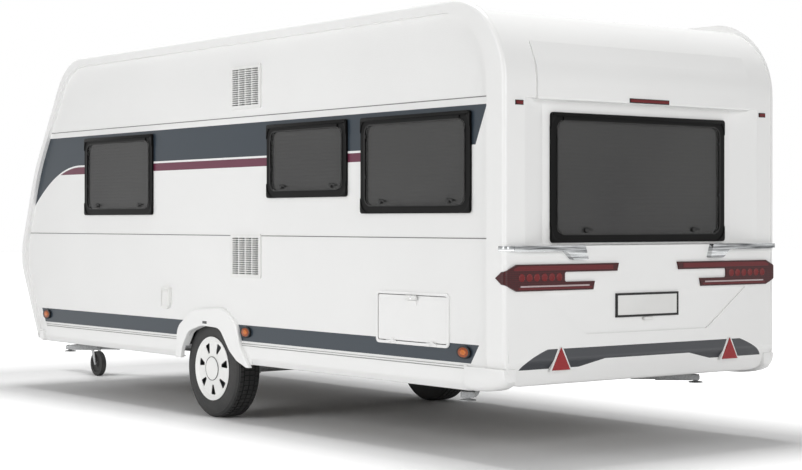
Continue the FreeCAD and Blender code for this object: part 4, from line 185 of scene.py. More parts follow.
def plate(name, places, depth):
    """Flat face through places, thickened by a vector."""
    piece = run(name, places)
    edit(piece)
    bpy.ops.mesh.edge_face_add()
    bpy.ops.mesh.extrude_region_move(TRANSFORM_OT_translate={"value": Vector(depth)})
    shut()
    return close_up(piece)


def turned(name, centre, way, profile, steps):
    """Profile of depths along axis 0, 1 or 2 and radii, turned once round that axis."""
    axis = [0.0, 0.0, 0.0]
    axis[way] = 1.0
    places = []
    for depth, radius in profile:
        place = list(centre)
        place[way] += depth
        place[0 if way == 2 else 2] += radius
        places.append(Vector(place))
    piece = run(name, places)
    edit(piece)
    bpy.ops.mesh.spin(steps=steps, angle=math.radians(360.0), center=centre, axis=axis)
    shut()
    return close_up(piece, 0.0001)


def joined(name, pieces):
    """Several pieces made into one."""
    deselect()
    for piece in pieces:
        piece.select_set(True)
    bpy.context.view_layer.objects.active = pieces[0]
    if len(pieces) > 1:
        bpy.ops.object.join()
    pieces[0].name = name
    return pieces[0]


def rounded(places, radius, steps=5):
    """Corners of a closed outline turned into short arcs."""
    result = []
    for i, corner in enumerate(Vector(place) for place in places):
        back = Vector(places[i - 1]) - corner
        ahead = Vector(places[(i + 1) % len(places)]) - corner
        reach = min(radius, back.length / 2.2, ahead.length / 2.2)
        first = corner + back.normalized() * reach
        last = corner + ahead.normalized() * reach
        for step in range(steps + 1):
            t = step / steps
            result.append(first.lerp(corner, t).lerp(corner.lerp(last, t), t))
    return result


def pick_faces(piece, chosen):
    """Open a piece for editing with the faces selected that a test picks."""
    edit(piece, "DESELECT", "FACE")
    shut()
    for polygon in piece.data.polygons:
        polygon.select = chosen(polygon.center, polygon.normal)
    bpy.ops.object.mode_set(mode="EDIT")


def inset_faces(piece, chosen, thickness, depth=0.0):
    """Inset the faces that a test picks, and sink or raise them."""
    pick_faces(piece, chosen)
    bpy.ops.mesh.inset(thickness=thickness, depth=depth)
    shut()
    return piece


def facing(*direction):
    """Test for faces that look one way."""
    wanted = Vector(direction)
    return lambda centre, normal: normal.dot(wanted) > 0.9


def loose_boxes(node):
    """Boxes of the separate solids in one CAD node, from back to front."""
    source = NODES[node]
    deselect()
    twin = source.copy()
    twin.data = source.data.copy()
    bpy.context.scene.collection.objects.link(twin)
    close_up(twin)
    hold(twin)
    bpy.ops.mesh.separate(type="LOOSE")
    boxes = []
    for item in list(bpy.context.selected_objects):
        places = [vertex.co for vertex in item.data.vertices]
        low, high = (Vector(end(p[i] for p in places) for i in range(3)) for end in (min, max))
        boxes.append((low, high))
        bpy.data.objects.remove(item, do_unlink=True)
    return sorted(boxes, key=lambda pair: (pair[0].x, pair[0].y))


def paint(piece, key):
    piece.data.materials.clear()
    piece.data.materials.append(finish(key))
    return piece


def done(piece, body, key, angle=35.0):
    """Smooth, paint and hang a finished piece on its body."""
    hold(piece)
    bpy.ops.object.shade_smooth_by_angle(angle=math.radians(angle))
    paint(piece, key)
    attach(piece, body)
    return piece


def both_sides(piece, body, key, angle=35.0):
    """Finish a left-hand piece and its mirror image on the right."""
    hold(piece)
    bpy.ops.object.duplicate(linked=False)
    twin = bpy.context.object
    twin.name = piece.name.replace("left", "right")
    twin.matrix_world = MIRROR @ twin.matrix_world
    settle(twin)
    close_up(twin)
    done(piece, body, key, angle)
    done(twin, body.replace("left", "right"), key, angle)
    return piece, twin


# Shader maths

class Value:
    """A shader socket that takes part in sums."""

    def __init__(self, mix, socket):
        self.mix = mix
        self.socket = socket

    def __add__(self, other):
        return self.mix.math("ADD", self, other)

    def __radd__(self, other):
        return self.mix.math("ADD", other, self)

    def __sub__(self, other):
        return self.mix.math("SUBTRACT", self, other)

    def __rsub__(self, other):
        return self.mix.math("SUBTRACT", other, self)

    def __mul__(self, other):
        return self.mix.math("MULTIPLY", self, other)

    def __rmul__(self, other):
        return self.mix.math("MULTIPLY", other, self)

    def __gt__(self, other):
        return self.mix.math("GREATER_THAN", self, other)

    def __lt__(self, other):
        return self.mix.math("LESS_THAN", self, other)

    def __and__(self, other):
        return self.mix.math("MULTIPLY", self, other)

    def __or__(self, other):
        return self.mix.math("MAXIMUM", self, other)

    def __abs__(self):
        return self.mix.math("ABSOLUTE", self)


class Finish:
    """A material with one principled shader, built node by node."""

    def __init__(self, name, **fixed):
        self.material = bpy.data.materials.new(name)
        self.material.use_nodes = True
        self.tree = self.material.node_tree
        self.shader = self.tree.nodes["Principled BSDF"]
        for label, value in fixed.items():
            self.shader.inputs[label.replace("_", " ")].default_value = value

    def node(self, kind, settings=None, **links):
        item = self.tree.nodes.new(kind)
        for key, value in (settings or {}).items():
            setattr(item, key, value)
        for key, value in links.items():
            self.feed(item.inputs[key.replace("_", " ")], value)
        return item

    def feed(self, socket, value):
        if isinstance(value, Value):
            self.tree.links.new(value.socket, socket)
        else:
            socket.default_value = value

    def math(self, operation, *values):
        item = self.node("ShaderNodeMath", {"operation": operation})
        for socket, value in zip(item.inputs, values):
            self.feed(socket, value)
        return Value(self, item.outputs[0])

    def above(self, value, least):
        """How far a value lies above a number, and nothing below it."""
        return self.math("MAXIMUM", value - least, 0.0)

    def length(self, first, second):
        return self.math("SQRT", first * first + second * second)

    def folds(self, value, pitch):
        """Ridges from 0 to 1, one pitch up and one down."""
        return self.math("PINGPONG", value, pitch) * (1.0 / pitch)

    def coordinates(self):
        return Value(self, self.node("ShaderNodeTexCoord").outputs["Object"])

    def spot(self):
        """Object coordinates as x from the axle, y and z."""
        split = self.node("ShaderNodeSeparateXYZ", Vector=self.coordinates())
        x, y, z = (Value(self, socket) for socket in split.outputs)
        return x - AXLE, y, z

    def vector(self, scale):
        item = self.node("ShaderNodeMapping", Vector=self.coordinates(), Scale=scale)
        return Value(self, item.outputs[0])

    def noise(self, scale, detail=2.0, roughness=0.5, stretch=(1.0, 1.0, 1.0)):
        item = self.node("ShaderNodeTexNoise", Vector=self.vector(stretch), Scale=scale,
                         Detail=detail, Roughness=roughness)
        return Value(self, item.outputs["Fac"])

    def cells(self, scale, feature="F1"):
        item = self.node("ShaderNodeTexVoronoi", {"feature": feature},
                         Vector=self.vector((1.0, 1.0, 1.0)), Scale=scale)
        return Value(self, item.outputs["Distance"])

    def range(self, value, low, high, out_low=0.0, out_high=1.0):
        item = self.node("ShaderNodeMapRange", {"clamp": True}, Value=value, From_Min=low,
                         From_Max=high, To_Min=out_low, To_Max=out_high)
        return Value(self, item.outputs[0])

    def spread(self, noise, low=0.0, high=1.0):
        """The middle part of a noise, drawn out between two numbers."""
        return self.range(noise, 0.3, 0.7, low, high)

    def blend(self, factor, first, second):
        """Colour mix."""
        item = self.node("ShaderNodeMix", {"data_type": "RGBA"})
        for index, value in ((0, factor), (6, first), (7, second)):
            self.feed(item.inputs[index], value)
        return Value(self, item.outputs[2])

    def body_white(self, share=0.97):
        """Body white with faint broad patches."""
        white = settings("paint").white
        return self.blend(self.spread(self.noise(0.9)), tuple(white), darker(white, share))

    def colour(self, value):
        self.feed(self.shader.inputs["Base Color"], value)
        return self

    def patches(self, scale, detail, first, second):
        """Two close tones in soft patches."""
        return self.colour(self.blend(self.spread(self.noise(scale, detail)), first, second))

    def roughness(self, value):
        self.feed(self.shader.inputs["Roughness"], value)
        return self

    def worn(self, noise, low, high):
        """Roughness that wanders between two numbers."""
        return self.roughness(self.spread(noise, low, high))

    def bump(self, height, distance, strength=1.0):
        item = self.node("ShaderNodeBump", Height=height, Distance=distance, Strength=strength)
        self.tree.links.new(item.outputs[0], self.shader.inputs["Normal"])
        return self

    def ripple(self):
        """The faint waviness of gel coat."""
        return self.bump(self.noise(14.0), 0.0006, 0.25)


def shade(red, green=None, blue=None):
    """Colour as seen on a screen, from 0 to 255, made linear; one number is a grey."""
    def line(value):
        value = (red if value is None else value) / 255.0
        return value / 12.92 if value <= 0.04045 else ((value + 0.055) / 1.055) ** 2.4
    return (line(red), line(green), line(blue), 1.0)


def darker(colour, share):
    return tuple(v * share for v in colour[:3]) + (1.0,)


# Sizes and colours that a user would change

class CaravanPaint(bpy.types.PropertyGroup):
    """Colours of the body and its stripes."""
    white: bpy.props.FloatVectorProperty(
        name="Body white", description="Colour of the smooth body panels",
        subtype="COLOR", size=4, default=shade(236, 236, 235), min=0.0, max=1.0)
    slate: bpy.props.FloatVectorProperty(
        name="Slate stripe", description="Colour of the broad dark stripes",
        subtype="COLOR", size=4, default=shade(43, 53, 62), min=0.0, max=1.0)
    wine: bpy.props.FloatVectorProperty(
        name="Wine stripe", description="Colour of the narrow stripe",
        subtype="COLOR", size=4, default=shade(98, 40, 62), min=0.0, max=1.0)
    stripe_top: bpy.props.FloatProperty(
        name="Upper stripe, top", description="Height of the upper stripe's top edge",
        unit="LENGTH", default=2.085)
    stripe_low: bpy.props.FloatProperty(
        name="Upper stripe, foot", description="Height of the upper stripe's low edge",
        unit="LENGTH", default=1.853)
    line_wide: bpy.props.FloatProperty(
        name="White line", description="Width of the line between the stripes",
        unit="LENGTH", default=0.014)
    wine_low: bpy.props.FloatProperty(
        name="Wine stripe, foot", description="Height of the narrow stripe's low edge",
        unit="LENGTH", default=1.782)
    skirt_top: bpy.props.FloatProperty(
        name="Lower stripe, top", description="Height of the lower stripe's top edge",
        unit="LENGTH", default=0.686)
    skirt_low: bpy.props.FloatProperty(
        name="Lower stripe, foot", description="Height of the lower stripe's low edge",
        unit="LENGTH", default=0.575)


class CaravanTrim(bpy.types.PropertyGroup):
    """Sizes of the joint strips and latches."""
    line_upper: bpy.props.FloatProperty(
        name="Upper line", description="Height of the upper wall joint",
        unit="LENGTH", default=2.129)
    line_lower: bpy.props.FloatProperty(
        name="Lower line", description="Height of the lower wall joint",
        unit="LENGTH", default=1.3065)
    line_wide: bpy.props.FloatProperty(
        name="Line width", description="Width of the joint strips", unit="LENGTH", default=0.006)
    line_proud: bpy.props.FloatProperty(
        name="Line depth", description="How far the joint strips stand out",
        unit="LENGTH", default=0.0015)
    latch: bpy.props.FloatProperty(
        name="Latch length", description="Length of a window latch", unit="LENGTH", default=0.07)


class CaravanWheel(bpy.types.PropertyGroup):
    """Sizes of the tyres' tread."""
    tread_pitch: bpy.props.IntProperty(
        name="Tread blocks", description="Blocks round the tyre", default=60, min=24)
    groove: bpy.props.FloatProperty(
        name="Groove depth", description="Depth of the tread grooves",
        unit="LENGTH", default=0.007)


class CaravanStage(bpy.types.PropertyGroup):
    """Camera and light."""
    lens: bpy.props.FloatProperty(
        name="Lens", description="Focal length on a 36 mm sensor", unit="CAMERA", default=79.7)
    heading: bpy.props.FloatProperty(
        name="Heading", description="Camera heading to the right of forward",
        subtype="ANGLE", default=math.radians(37.495))
    tilt: bpy.props.FloatProperty(
        name="Tilt", description="Camera tilt above level",
        subtype="ANGLE", default=math.radians(-0.2381))
    place: bpy.props.FloatVectorProperty(
        name="Place", description="Camera place from the axle",
        subtype="TRANSLATION", default=(-10.927, 7.750, 1.408))
    shift: bpy.props.FloatProperty(
        name="Shift", description="Vertical lens shift", default=-0.0083)
    top_light: bpy.props.FloatProperty(
        name="Top light", description="Strength of the lamp overhead", default=900.0)
    side_light: bpy.props.FloatProperty(
        name="Side light", description="Strength of the left softbox", default=330.0)
    rear_light: bpy.props.FloatProperty(
        name="Rear light", description="Strength of the softbox behind", default=350.0)
    world_light: bpy.props.FloatProperty(
        name="World light", description="Strength of the even light", default=0.28)


GROUPS = {"paint": CaravanPaint, "trim": CaravanTrim, "wheel": CaravanWheel, "stage": CaravanStage}


def settings(name):
    return getattr(bpy.context.scene, "caravan_" + name)


# Finishes

# Side stripes, in metres from the axle: where the upper one starts to sweep down at the front and
# how sharply, its slanted rear end, the wine stripe's rear end, and the lower one's slanted ends.
SWEEP_START, SWEEP = 1.95, 0.494
SLATE_END, SLATE_SLANT = -3.10, 0.446
WINE_END = -1.884
SKIRT_FRONT, SKIRT_FRONT_SLANT = 2.561, 0.586
SKIRT_REAR, SKIRT_REAR_SLANT = -2.955, 0.676
SKIN = 0.002            # depth of the outer skin that takes the stripes
DENTS = 150.0           # scale of the hammered sheet's dents
GROOVE_PAINTED_SHADE = (0.0035, 0.0085)  # depths below the tread between which a groove is painted dark, as painted shade in the grooves


def smooth_white():
    """Gel-coated body white with a faint waviness."""
    item = Finish("Body white", Roughness=0.32, Coat_Weight=0.25, Coat_Roughness=0.12)
    return item.colour(item.body_white()).ripple()


def wall_finish():
    """Side wall: smooth white with its stripes, and a hammered sheet above the upper joint."""
    look = settings("paint")
    item = Finish("Side wall", Coat_Weight=0.08, Coat_Roughness=0.2, Specular_IOR_Level=0.3)
    x, y, z = item.spot()
    reach = item.above(x, SWEEP_START)
    low = look.stripe_low - reach * reach * SWEEP
    rear_end = x > (look.stripe_top - z) * SLATE_SLANT + SLATE_END
    slate = (z > low) & (z < look.stripe_top) & rear_end
    wine = (z > look.wine_low) & (z < low - look.line_wide) & (x > WINE_END)
    rise = z - look.skirt_low
    skirt = (z > look.skirt_low) & (z < look.skirt_top)
    skirt &= x < SKIRT_FRONT + rise * SKIRT_FRONT_SLANT
    skirt &= x > SKIRT_REAR - rise * SKIRT_REAR_SLANT
    skin = abs(y) > SIDE - SKIN
    colour = item.blend((slate | skirt) & skin, item.body_white(), tuple(look.slate))
    item.colour(item.blend(wine & skin, colour, tuple(look.wine)))
    hammered = z > settings("trim").line_upper
    item.roughness(0.34 + hammered * 0.08)
    dents = item.cells(DENTS, "SMOOTH_F1")
    return item.bump(dents * hammered * 0.8 + item.noise(14.0) * 0.12, 0.0012, 0.6)


def hammered_white():
    """White sheet with a hammered surface."""
    item = Finish("Hammered sheet", Coat_Weight=0.15, Coat_Roughness=0.2)
    item.colour(item.body_white(0.96))
    dents = item.cells(DENTS, "SMOOTH_F1")
    return item.roughness(item.range(dents, 0.0, 0.6, 0.36, 0.46)).bump(dents, 0.0012, 0.5)


def front_finish():
    """Front panel: white, with the dark field round the front window."""
    item = Finish("Front panel", Coat_Weight=0.3, Coat_Roughness=0.1)
    y, z = item.spot()[1:]
    corner = item.above(abs(y), 0.92)
    dark = (z > 1.17 + corner * 1.2) & (z < 2.09 - corner * corner * 3.0)
    item.colour(item.blend(dark, tuple(settings("paint").white), shade(40, 42, 45)))
    return item.worn(item.noise(30.0, 3.0), 0.26, 0.34).ripple()


def rear_finish():
    """Rear panels: white, with the dark band across the bumper's foot."""
    item = Finish("Rear panel", Coat_Weight=0.25, Coat_Roughness=0.12)
    y, z = item.spot()[1:]
    across, rise = abs(y), z - 0.55
    end = 1.03 - rise * 0.6 - rise * rise * 11.0
    foot = 0.592 - item.range(across, 0.36, 0.56) * 0.042
    band = (z < 0.664) & (z > foot) & (across < end)
    item.colour(item.blend(band, item.body_white(), shade(29, 33, 40)))
    return item.worn(item.noise(40.0, 3.0), 0.3, 0.36).ripple()


def black_frame():
    """Fine-grained black window frame."""
    item = Finish("Window frame", Specular_IOR_Level=0.1).patches(6.0, 2.0, shade(7), shade(11))
    grain = item.noise(420.0, 4.0)
    return item.worn(grain, 0.36, 0.5).bump(grain, 0.0002, 0.5)


def tinted_pane():
    """Dark acrylic glazing."""
    item = Finish("Tinted pane", Specular_IOR_Level=0.5, IOR=1.49, Alpha=0.56)
    item.patches(1.2, 2.0, shade(60), shade(71, 71, 70))
    return item.worn(item.noise(3.0, 3.0), 0.06, 0.13)


def pleated_blind():
    """Closed pleated blind behind the glazing, with painted shade across its pleats."""
    item = Finish("Blind")
    fold = item.folds(item.spot()[2], 0.012)
    weave = item.noise(700.0)
    # Painted shade: each pleat goes from darker to lighter with the fold; the weave adds real grain
    item.colour(item.blend(fold * 0.7 + weave * 0.3, shade(112, 112, 111), shade(146, 146, 144)))
    return item.roughness(0.85 + weave * 0.1).bump(fold, 0.004, 0.6)


def hatch_glazing():
    """Milky white rooflight dome."""
    item = Finish("Rooflight", Coat_Weight=0.3, Coat_Roughness=0.15)
    item.patches(3.0, 2.0, shade(214, 216, 217), shade(200, 203, 205))
    return item.worn(item.noise(30.0), 0.2, 0.3).bump(item.noise(20.0), 0.0003, 0.2)


def moulded_white(name="White plastic", level=232, rough=0.45):
    """Moulded white plastic with a fine grain."""
    item = Finish(name)
    low = level - 6
    item.patches(3.0, 2.0, shade(level, level, level - 2), shade(low, low, low - 2))
    grain = item.noise(500.0, 3.0)
    return item.worn(grain, rough - 0.05, rough + 0.05).bump(grain, 0.00015, 0.5)


def dark_plastic(name="Black plastic", level=24, rough=0.5):
    """Moulded dark plastic with a coarser grain."""
    item = Finish(name, Specular_IOR_Level=0.3).patches(8.0, 3.0, shade(level), shade(level + 8))
    grain = item.noise(380.0, 3.0)
    return item.worn(grain, rough - 0.06, rough + 0.06).bump(grain, 0.0003, 0.5)


def dusty(item, clean, dust):
    """Rubber grain and a film of dust; gives the colour."""
    grain = item.noise(260.0, 5.0, 0.6)
    item.worn(grain, 0.62, 0.82).bump(grain, 0.0004, 0.6)
    return item.blend(item.range(item.noise(7.0, 4.0), 0.42, 0.72) * 0.5, clean, dust)


def rubber(name, level):
    item = Finish(name)
    return item.colour(dusty(item, shade(level), shade(level + 22, level + 21, level + 19)))


def road_rubber():
    """Tyre rubber, with painted shade darkening the grooves of the tread."""
    item = Finish("Road tyre")
    x, y, z = item.spot()
    middle, size = span("wheel_tyre_left")
    outer = size.z / 2
    radius = item.length(x, z - middle.z)
    # Painted shade: the tread's grooves are picked out by depth and coloured near black
    groove = (radius < outer - GROOVE_PAINTED_SHADE[0]) & (radius > outer - GROOVE_PAINTED_SHADE[1])
    groove &= abs(abs(y) - middle.y) < size.y * 0.41
    return item.colour(item.blend(groove, dusty(item, shade(44), shade(64, 63, 61)), shade(14)))


def galvanised():
    """Hot-dip zinc with its spangle."""
    item = Finish("Galvanised steel", Metallic=0.3)
    spangle = item.range(item.cells(90.0), 0.0, 0.8)
    item.colour(item.blend(spangle, shade(146, 148, 149), shade(182, 183, 184)))
    item.roughness(0.42 + spangle * 0.2)
    return item.bump(item.noise(60.0, 3.0), 0.0003, 0.4)


def plain_metal(name, tone, metallic, rough):
    item = Finish(name, Metallic=metallic)
    wear = item.noise(45.0, 4.0)
    item.colour(item.blend(item.spread(wear), tone, darker(tone, 0.85)))
    return item.worn(item.noise(180.0, 3.0), rough * 0.8, rough * 1.2).bump(wear, 0.0002, 0.4)


def chrome():
    item = Finish("Chrome", Metallic=1.0)
    item.patches(4.0, 2.0, shade(222, 223, 224), shade(205, 206, 208))
    return item.worn(item.noise(40.0, 3.0), 0.06, 0.12)


def brushed_handle():
    """Bright metal handle with long streaks of painted reflection in its colour."""
    item = Finish("Handle metal", Metallic=0.85)
    # Painted reflection: long light and dark streaks laid into the base colour
    painted_reflection = item.range(item.noise(2.2, 3.0, 0.6, (1.0, 1.0, 26.0)), 0.36, 0.62)
    item.colour(item.blend(painted_reflection, shade(84, 86, 88), shade(214, 216, 217)))
    return item.worn(item.noise(60.0), 0.14, 0.24).bump(item.noise(90.0), 0.0001, 0.3)


def lens(name, deep, bright, pitch=0.006):
    """Ribbed lamp plastic."""
    item = Finish(name, Coat_Weight=0.08, Coat_Roughness=0.05, Roughness=0.25,
                  Specular_IOR_Level=0.25)
    y, z = item.spot()[1:]
    ribs = item.folds(y, pitch) * item.folds(z, pitch)
    return item.colour(item.blend(ribs, deep, bright)).bump(ribs, 0.001, 0.5)


def plywood():
    item = Finish("Floor board")
    grain = item.noise(9.0, 6.0, 0.6, (1.0, 12.0, 12.0))
    item.colour(item.blend(item.range(grain, 0.35, 0.65), shade(128, 121, 112), shade(102, 96, 88)))
    return item.worn(grain, 0.55, 0.75).bump(grain, 0.0006, 0.5)


def insect_mesh():
    """Fine woven screen."""
    item = Finish("Insect mesh", Metallic=0.3)
    x, z = item.spot()[::2]
    wires = item.math("PINGPONG", x, 0.0015) * item.math("PINGPONG", z, 0.0015) * 400000.0
    wires = item.range(wires, 0.0, 1.0)
    return item.colour(item.blend(wires, shade(58), shade(26))).roughness(
        0.6 + wires * 0.2).bump(wires, 0.0004, 0.5)


def stage_finish():
    """White floor that keeps the caravan's shadow and is lifted to plain white further out."""
    item = Finish("Stage floor", Roughness=0.9, Specular_IOR_Level=0.1, Emission_Strength=1.0)
    item.patches(0.3, 2.0, shade(252), shade(249))
    x, y = item.spot()[:2]
    middle, size = measure(CAD_LOW, CAD_HIGH)
    ahead = item.above(abs(x + (AXLE - middle.x)), size.x / 2)
    aside = item.above(abs(y), size.y / 2)
    lift = item.range(item.length(ahead, aside), 0.2, 2.6)
    path = item.node("ShaderNodeLightPath").outputs
    seen = Value(item, path["Is Camera Ray"]) | Value(item, path["Is Glossy Ray"])
    item.feed(item.shader.inputs["Emission Color"],
              item.blend(seen * lift, (0.0, 0.0, 0.0, 1.0), (0.9, 0.9, 0.9, 1.0)))
    return item


# One finish for every piece that shares it: its maker and what the maker is given
RECIPES = {
    "white": (smooth_white,), "wall": (wall_finish,), "roof": (hammered_white,),
    "front": (front_finish,), "rear": (rear_finish,), "frame": (black_frame,),
    "pane": (tinted_pane,), "blind": (pleated_blind,), "hatch": (hatch_glazing,),
    "moulded": (moulded_white,),
    "trim": (moulded_white, "Wheel trim", 241, 0.32),
    "plate": (moulded_white, "Blank plate", 226, 0.35),
    "strip": (moulded_white, "Joint strip", 118, 0.5),
    "seam": (moulded_white, "Sill seam", 150, 0.6),
    "black": (dark_plastic,),
    "box": (dark_plastic, "Wheel box", 44, 0.7),
    "cap_ring": (dark_plastic, "Cap ring", 92, 0.4),
    "level": (dark_plastic, "Level", 74, 0.3),
    "tyre": (road_rubber,),
    "small_tyre": (rubber, "Jockey rubber", 44),
    "seal": (rubber, "Window rubber", 26),
    "zinc": (galvanised,),
    "cast": (plain_metal, "Cast coupling", shade(58, 60, 62), 0.5, 0.45),
    "tube": (plain_metal, "Plated tube", shade(176, 177, 178), 0.7, 0.35),
    "rim": (plain_metal, "Wheel rim", shade(92, 94, 96), 0.6, 0.45),
    "chrome": (chrome,), "handle": (brushed_handle,), "board": (plywood,),
    "mesh": (insect_mesh,), "stage": (stage_finish,),
    "tail": (lens, "Red lens", shade(52, 9, 13), shade(84, 17, 21)),
    "brake": (lens, "Marker lens", shade(92, 16, 21), shade(126, 28, 32)),
    "reflex": (lens, "Reflector", shade(134, 20, 26), shade(172, 38, 40), 0.004),
    "clear": (lens, "Clear reflector", shade(170, 150, 152), shade(214, 200, 200), 0.003),
    "deep": (lens, "Deep red lens", shade(92, 8, 12), shade(146, 20, 22), 0.003),
    "inner": (lens, "Inner red lens", shade(88, 18, 23), shade(116, 32, 36), 0.005),
    "amber": (lens, "Amber lens", shade(142, 62, 8), shade(180, 86, 16), 0.004),
    "prism": (lens, "Amber prism", shade(184, 92, 22), shade(214, 122, 46), 0.003),
}
MADE = {}

# Finish of every CAD node
CAD_FINISHES = {
    "wall": "side_wall_left side_wall_right",
    "roof": "roof_panel",
    "white": "edge_mouldings entrance_door sill_profiles wheel_arches service_flap "
             "service_flap_frame locker_lid",
    "front": "front_wall",
    "rear": "rear_wall rear_bumper",
    "frame": "window_frames door_window_frame",
    "pane": "window_panes door_window_pane",
    "blind": "window_blinds",
    "moulded": "fridge_grilles door_frame power_inlet roof_hatch_frames",
    "hatch": "roof_hatch_lid_large roof_hatch_lid_small",
    "board": "floor_panel locker_bulkhead",
    "box": "wheel_boxes",
    "zinc": "chassis_rails cross_members drawbar_arms axle_tube swing_arms steady_brackets "
            "steady_leg_rear_left steady_leg_rear_right steady_leg_front_left "
            "steady_leg_front_right",
    "cast": "coupling_head overrun_housing handbrake_lever",
    "tube": "jockey_outer_tube jockey_inner_tube jockey_fork",
    "small_tyre": "jockey_wheel",
    "rim": "wheel_rim_left wheel_rim_right",
    "trim": "wheel_trim_left wheel_trim_right",
    "tyre": "wheel_tyre_left wheel_tyre_right",
    "handle": "grab_handles",
    "plate": "number_plate",
    "tail": "tail_lamps",
    "brake": "marker_lamps",
    "reflex": "rear_reflectors",
    "amber": "side_markers",
}


def finish(key):
    if key not in MADE:
        maker, *values = RECIPES[key]
        MADE[key] = maker(*values).material
    return MADE[key]


# Operators, each with the places and profiles it uses, in metres

class CARAVAN_OT_cad_finishes(bpy.types.Operator):
    """Give every CAD piece its finish"""
    bl_idname = "caravan.cad_finishes"
    bl_label = "Finishes of the CAD pieces"

    def execute(self, context):
        painted = set()
        for key, names in CAD_FINISHES.items():
            for name in names.split():
                node = NODES[name]
                for slot in node.material_slots:
                    slot.material = finish(key)
                if not node.material_slots:
                    node.data.materials.append(finish(key))
                painted.add(name)
        missed = sorted(set(NODES) - painted)
        if missed:
            raise RuntimeError("no finish for " + ", ".join(missed))
        return {"FINISHED"}


JOINT_REAR, UPPER_JOINT_FRONT, LOWER_JOINT_FRONT = AXLE - 3.118, AXLE + 2.48, AXLE + 2.838


class CARAVAN_OT_joint_strips(bpy.types.Operator):
    """Lay the strips that cover the wall joints"""
    bl_idname = "caravan.joint_strips"
    bl_label = "Wall joint strips"

    def execute(self, context):
        trim = settings("trim")
        strips = []
        for side, gap in ((1, "fridge_grilles"), (-1, "door_frame")):
            low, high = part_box(gap)
            gaps = [(low.x, high.x)]
            for height, front, breaks in (
                    (trim.line_upper, UPPER_JOINT_FRONT, gaps if side < 0 else []),
                    (trim.line_lower, LOWER_JOINT_FRONT, gaps)):
                ends = [JOINT_REAR] + [x for pair in breaks for x in pair] + [front]
                for start, end in zip(ends[::2], ends[1::2]):
                    middle = ((start + end) / 2, side * (SIDE + trim.line_proud / 2), height)
                    strip = box("strip", middle, (end - start, trim.line_proud * 2, trim.line_wide))
                    strips.append(bevel(strip, trim.line_proud * 0.8, 3))
        done(joined("wall_joint_strips", strips), ROOT, "strip")
        return {"FINISHED"}


WINDOW_DEPTH = 0.05
WINDOW_FITTINGS = {"window_hinge_rails": "frame", "window_corners": "frame", "window_lips": "seal",
                   "window_latches": "black"}
PANE_MARGIN = 0.045     # from a frame's outer edge to its lip
CORNER_REACH, CORNER_SMALL = 0.095, 0.02


class CARAVAN_OT_windows(bpy.types.Operator):
    """Fit hinge rails, rubber lips, latches and corner pieces to the windows"""
    bl_idname = "caravan.windows"
    bl_label = "Window fittings"

    def execute(self, context):
        parts, door_parts = ({name: [] for name in WINDOW_FITTINGS} for _ in range(2))
        for low, high in loose_boxes("window_frames"):
            middle, size = measure(low, high)
            if size.y < 0.1:
                side, face = outer_face(low, high)
                fit_window(parts, outwards((middle.x, face, middle.z), (0.0, side, 0.0)),
                           size.x, size.z)
            elif middle.x < AXLE:
                fit_window(parts, outwards((low.x, middle.y, middle.z), (-1.0, 0.0, 0.0)),
                           size.y, size.z)
            else:
                lean = math.atan2(size.x - WINDOW_DEPTH, size.z)
                above = Vector((high.x + 0.3, 0.0, high.z - 0.02))
                place = NODES["window_frames"].closest_point_on_mesh(above)[1]
                turn = outwards(place, (math.cos(lean), 0.0, math.sin(lean)))
                for across in (-0.45, 0.45):
                    catch = box("catch", (across, 0.004, -0.035),
                                (settings("trim").latch, 0.008, 0.012), edge=0.003)
                    parts["window_latches"].append(moved(catch, turn))
        middle, size = span("door_window_frame")
        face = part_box("door_window_frame")[0].y
        fit_window(door_parts, outwards((middle.x, face, middle.z), (0.0, -1.0, 0.0)),
                   size.x, size.z, False)
        for prefix, body, group in (("", ROOT, parts), ("door_", "entrance_door", door_parts)):
            for name, key in WINDOW_FITTINGS.items():
                if group[name]:
                    done(joined(prefix + name, group[name]), body, key)
        return {"FINISHED"}


def outwards(place, normal):
    """Matrix to a place on a face: +Y becomes the face's normal and +X stays level."""
    normal = Vector(normal)
    level = Vector((normal.y, -normal.x, 0.0)).normalized()
    up = level.cross(normal).normalized()
    return Matrix.Translation(place) @ Matrix((level, normal, up)).transposed().to_4x4()


def moved(piece, matrix):
    """Send a piece made at the origin to its place."""
    piece.matrix_world = matrix @ piece.matrix_world
    return settle(piece)


def fit_window(parts, turn, wide, high, squared=True):
    """Fittings of one window, drawn about its middle with +Y outwards."""
    half_wide, half_high = wide / 2, high / 2
    top = half_high - 0.012
    fittings = {
        "window_hinge_rails": [
            box("rail", (0.0, 0.0, top), (wide * 0.985, 0.008, 0.018), edge=0.003),
            box("rail", (0.0, 0.002, top - 0.012), (wide * 0.94, 0.006, 0.004), edge=0.001)],
        "window_lips": [lip(half_wide - PANE_MARGIN, half_high - PANE_MARGIN)],
        "window_corners": [frame_corner(x, z, half_wide, half_high) for x, z in
                           ((-1, -1), (1, -1), (1, 1), (-1, 1))] if squared else [],
    }
    count = 2 if wide > 0.7 else 1
    fittings["window_latches"] = [
        latch((k - (count - 1) / 2) * wide * 0.62, 0.075 - half_high) for k in range(count)]
    fittings["window_latches"] += [
        box("knob", (side * (half_wide - 0.052), -0.006, high * level), (0.012, 0.012, 0.02),
            edge=0.004)
        for side in (-1, 1) for level in (-0.12, 0.3)]
    for name, pieces in fittings.items():
        parts[name] += [moved(piece, turn) for piece in pieces]


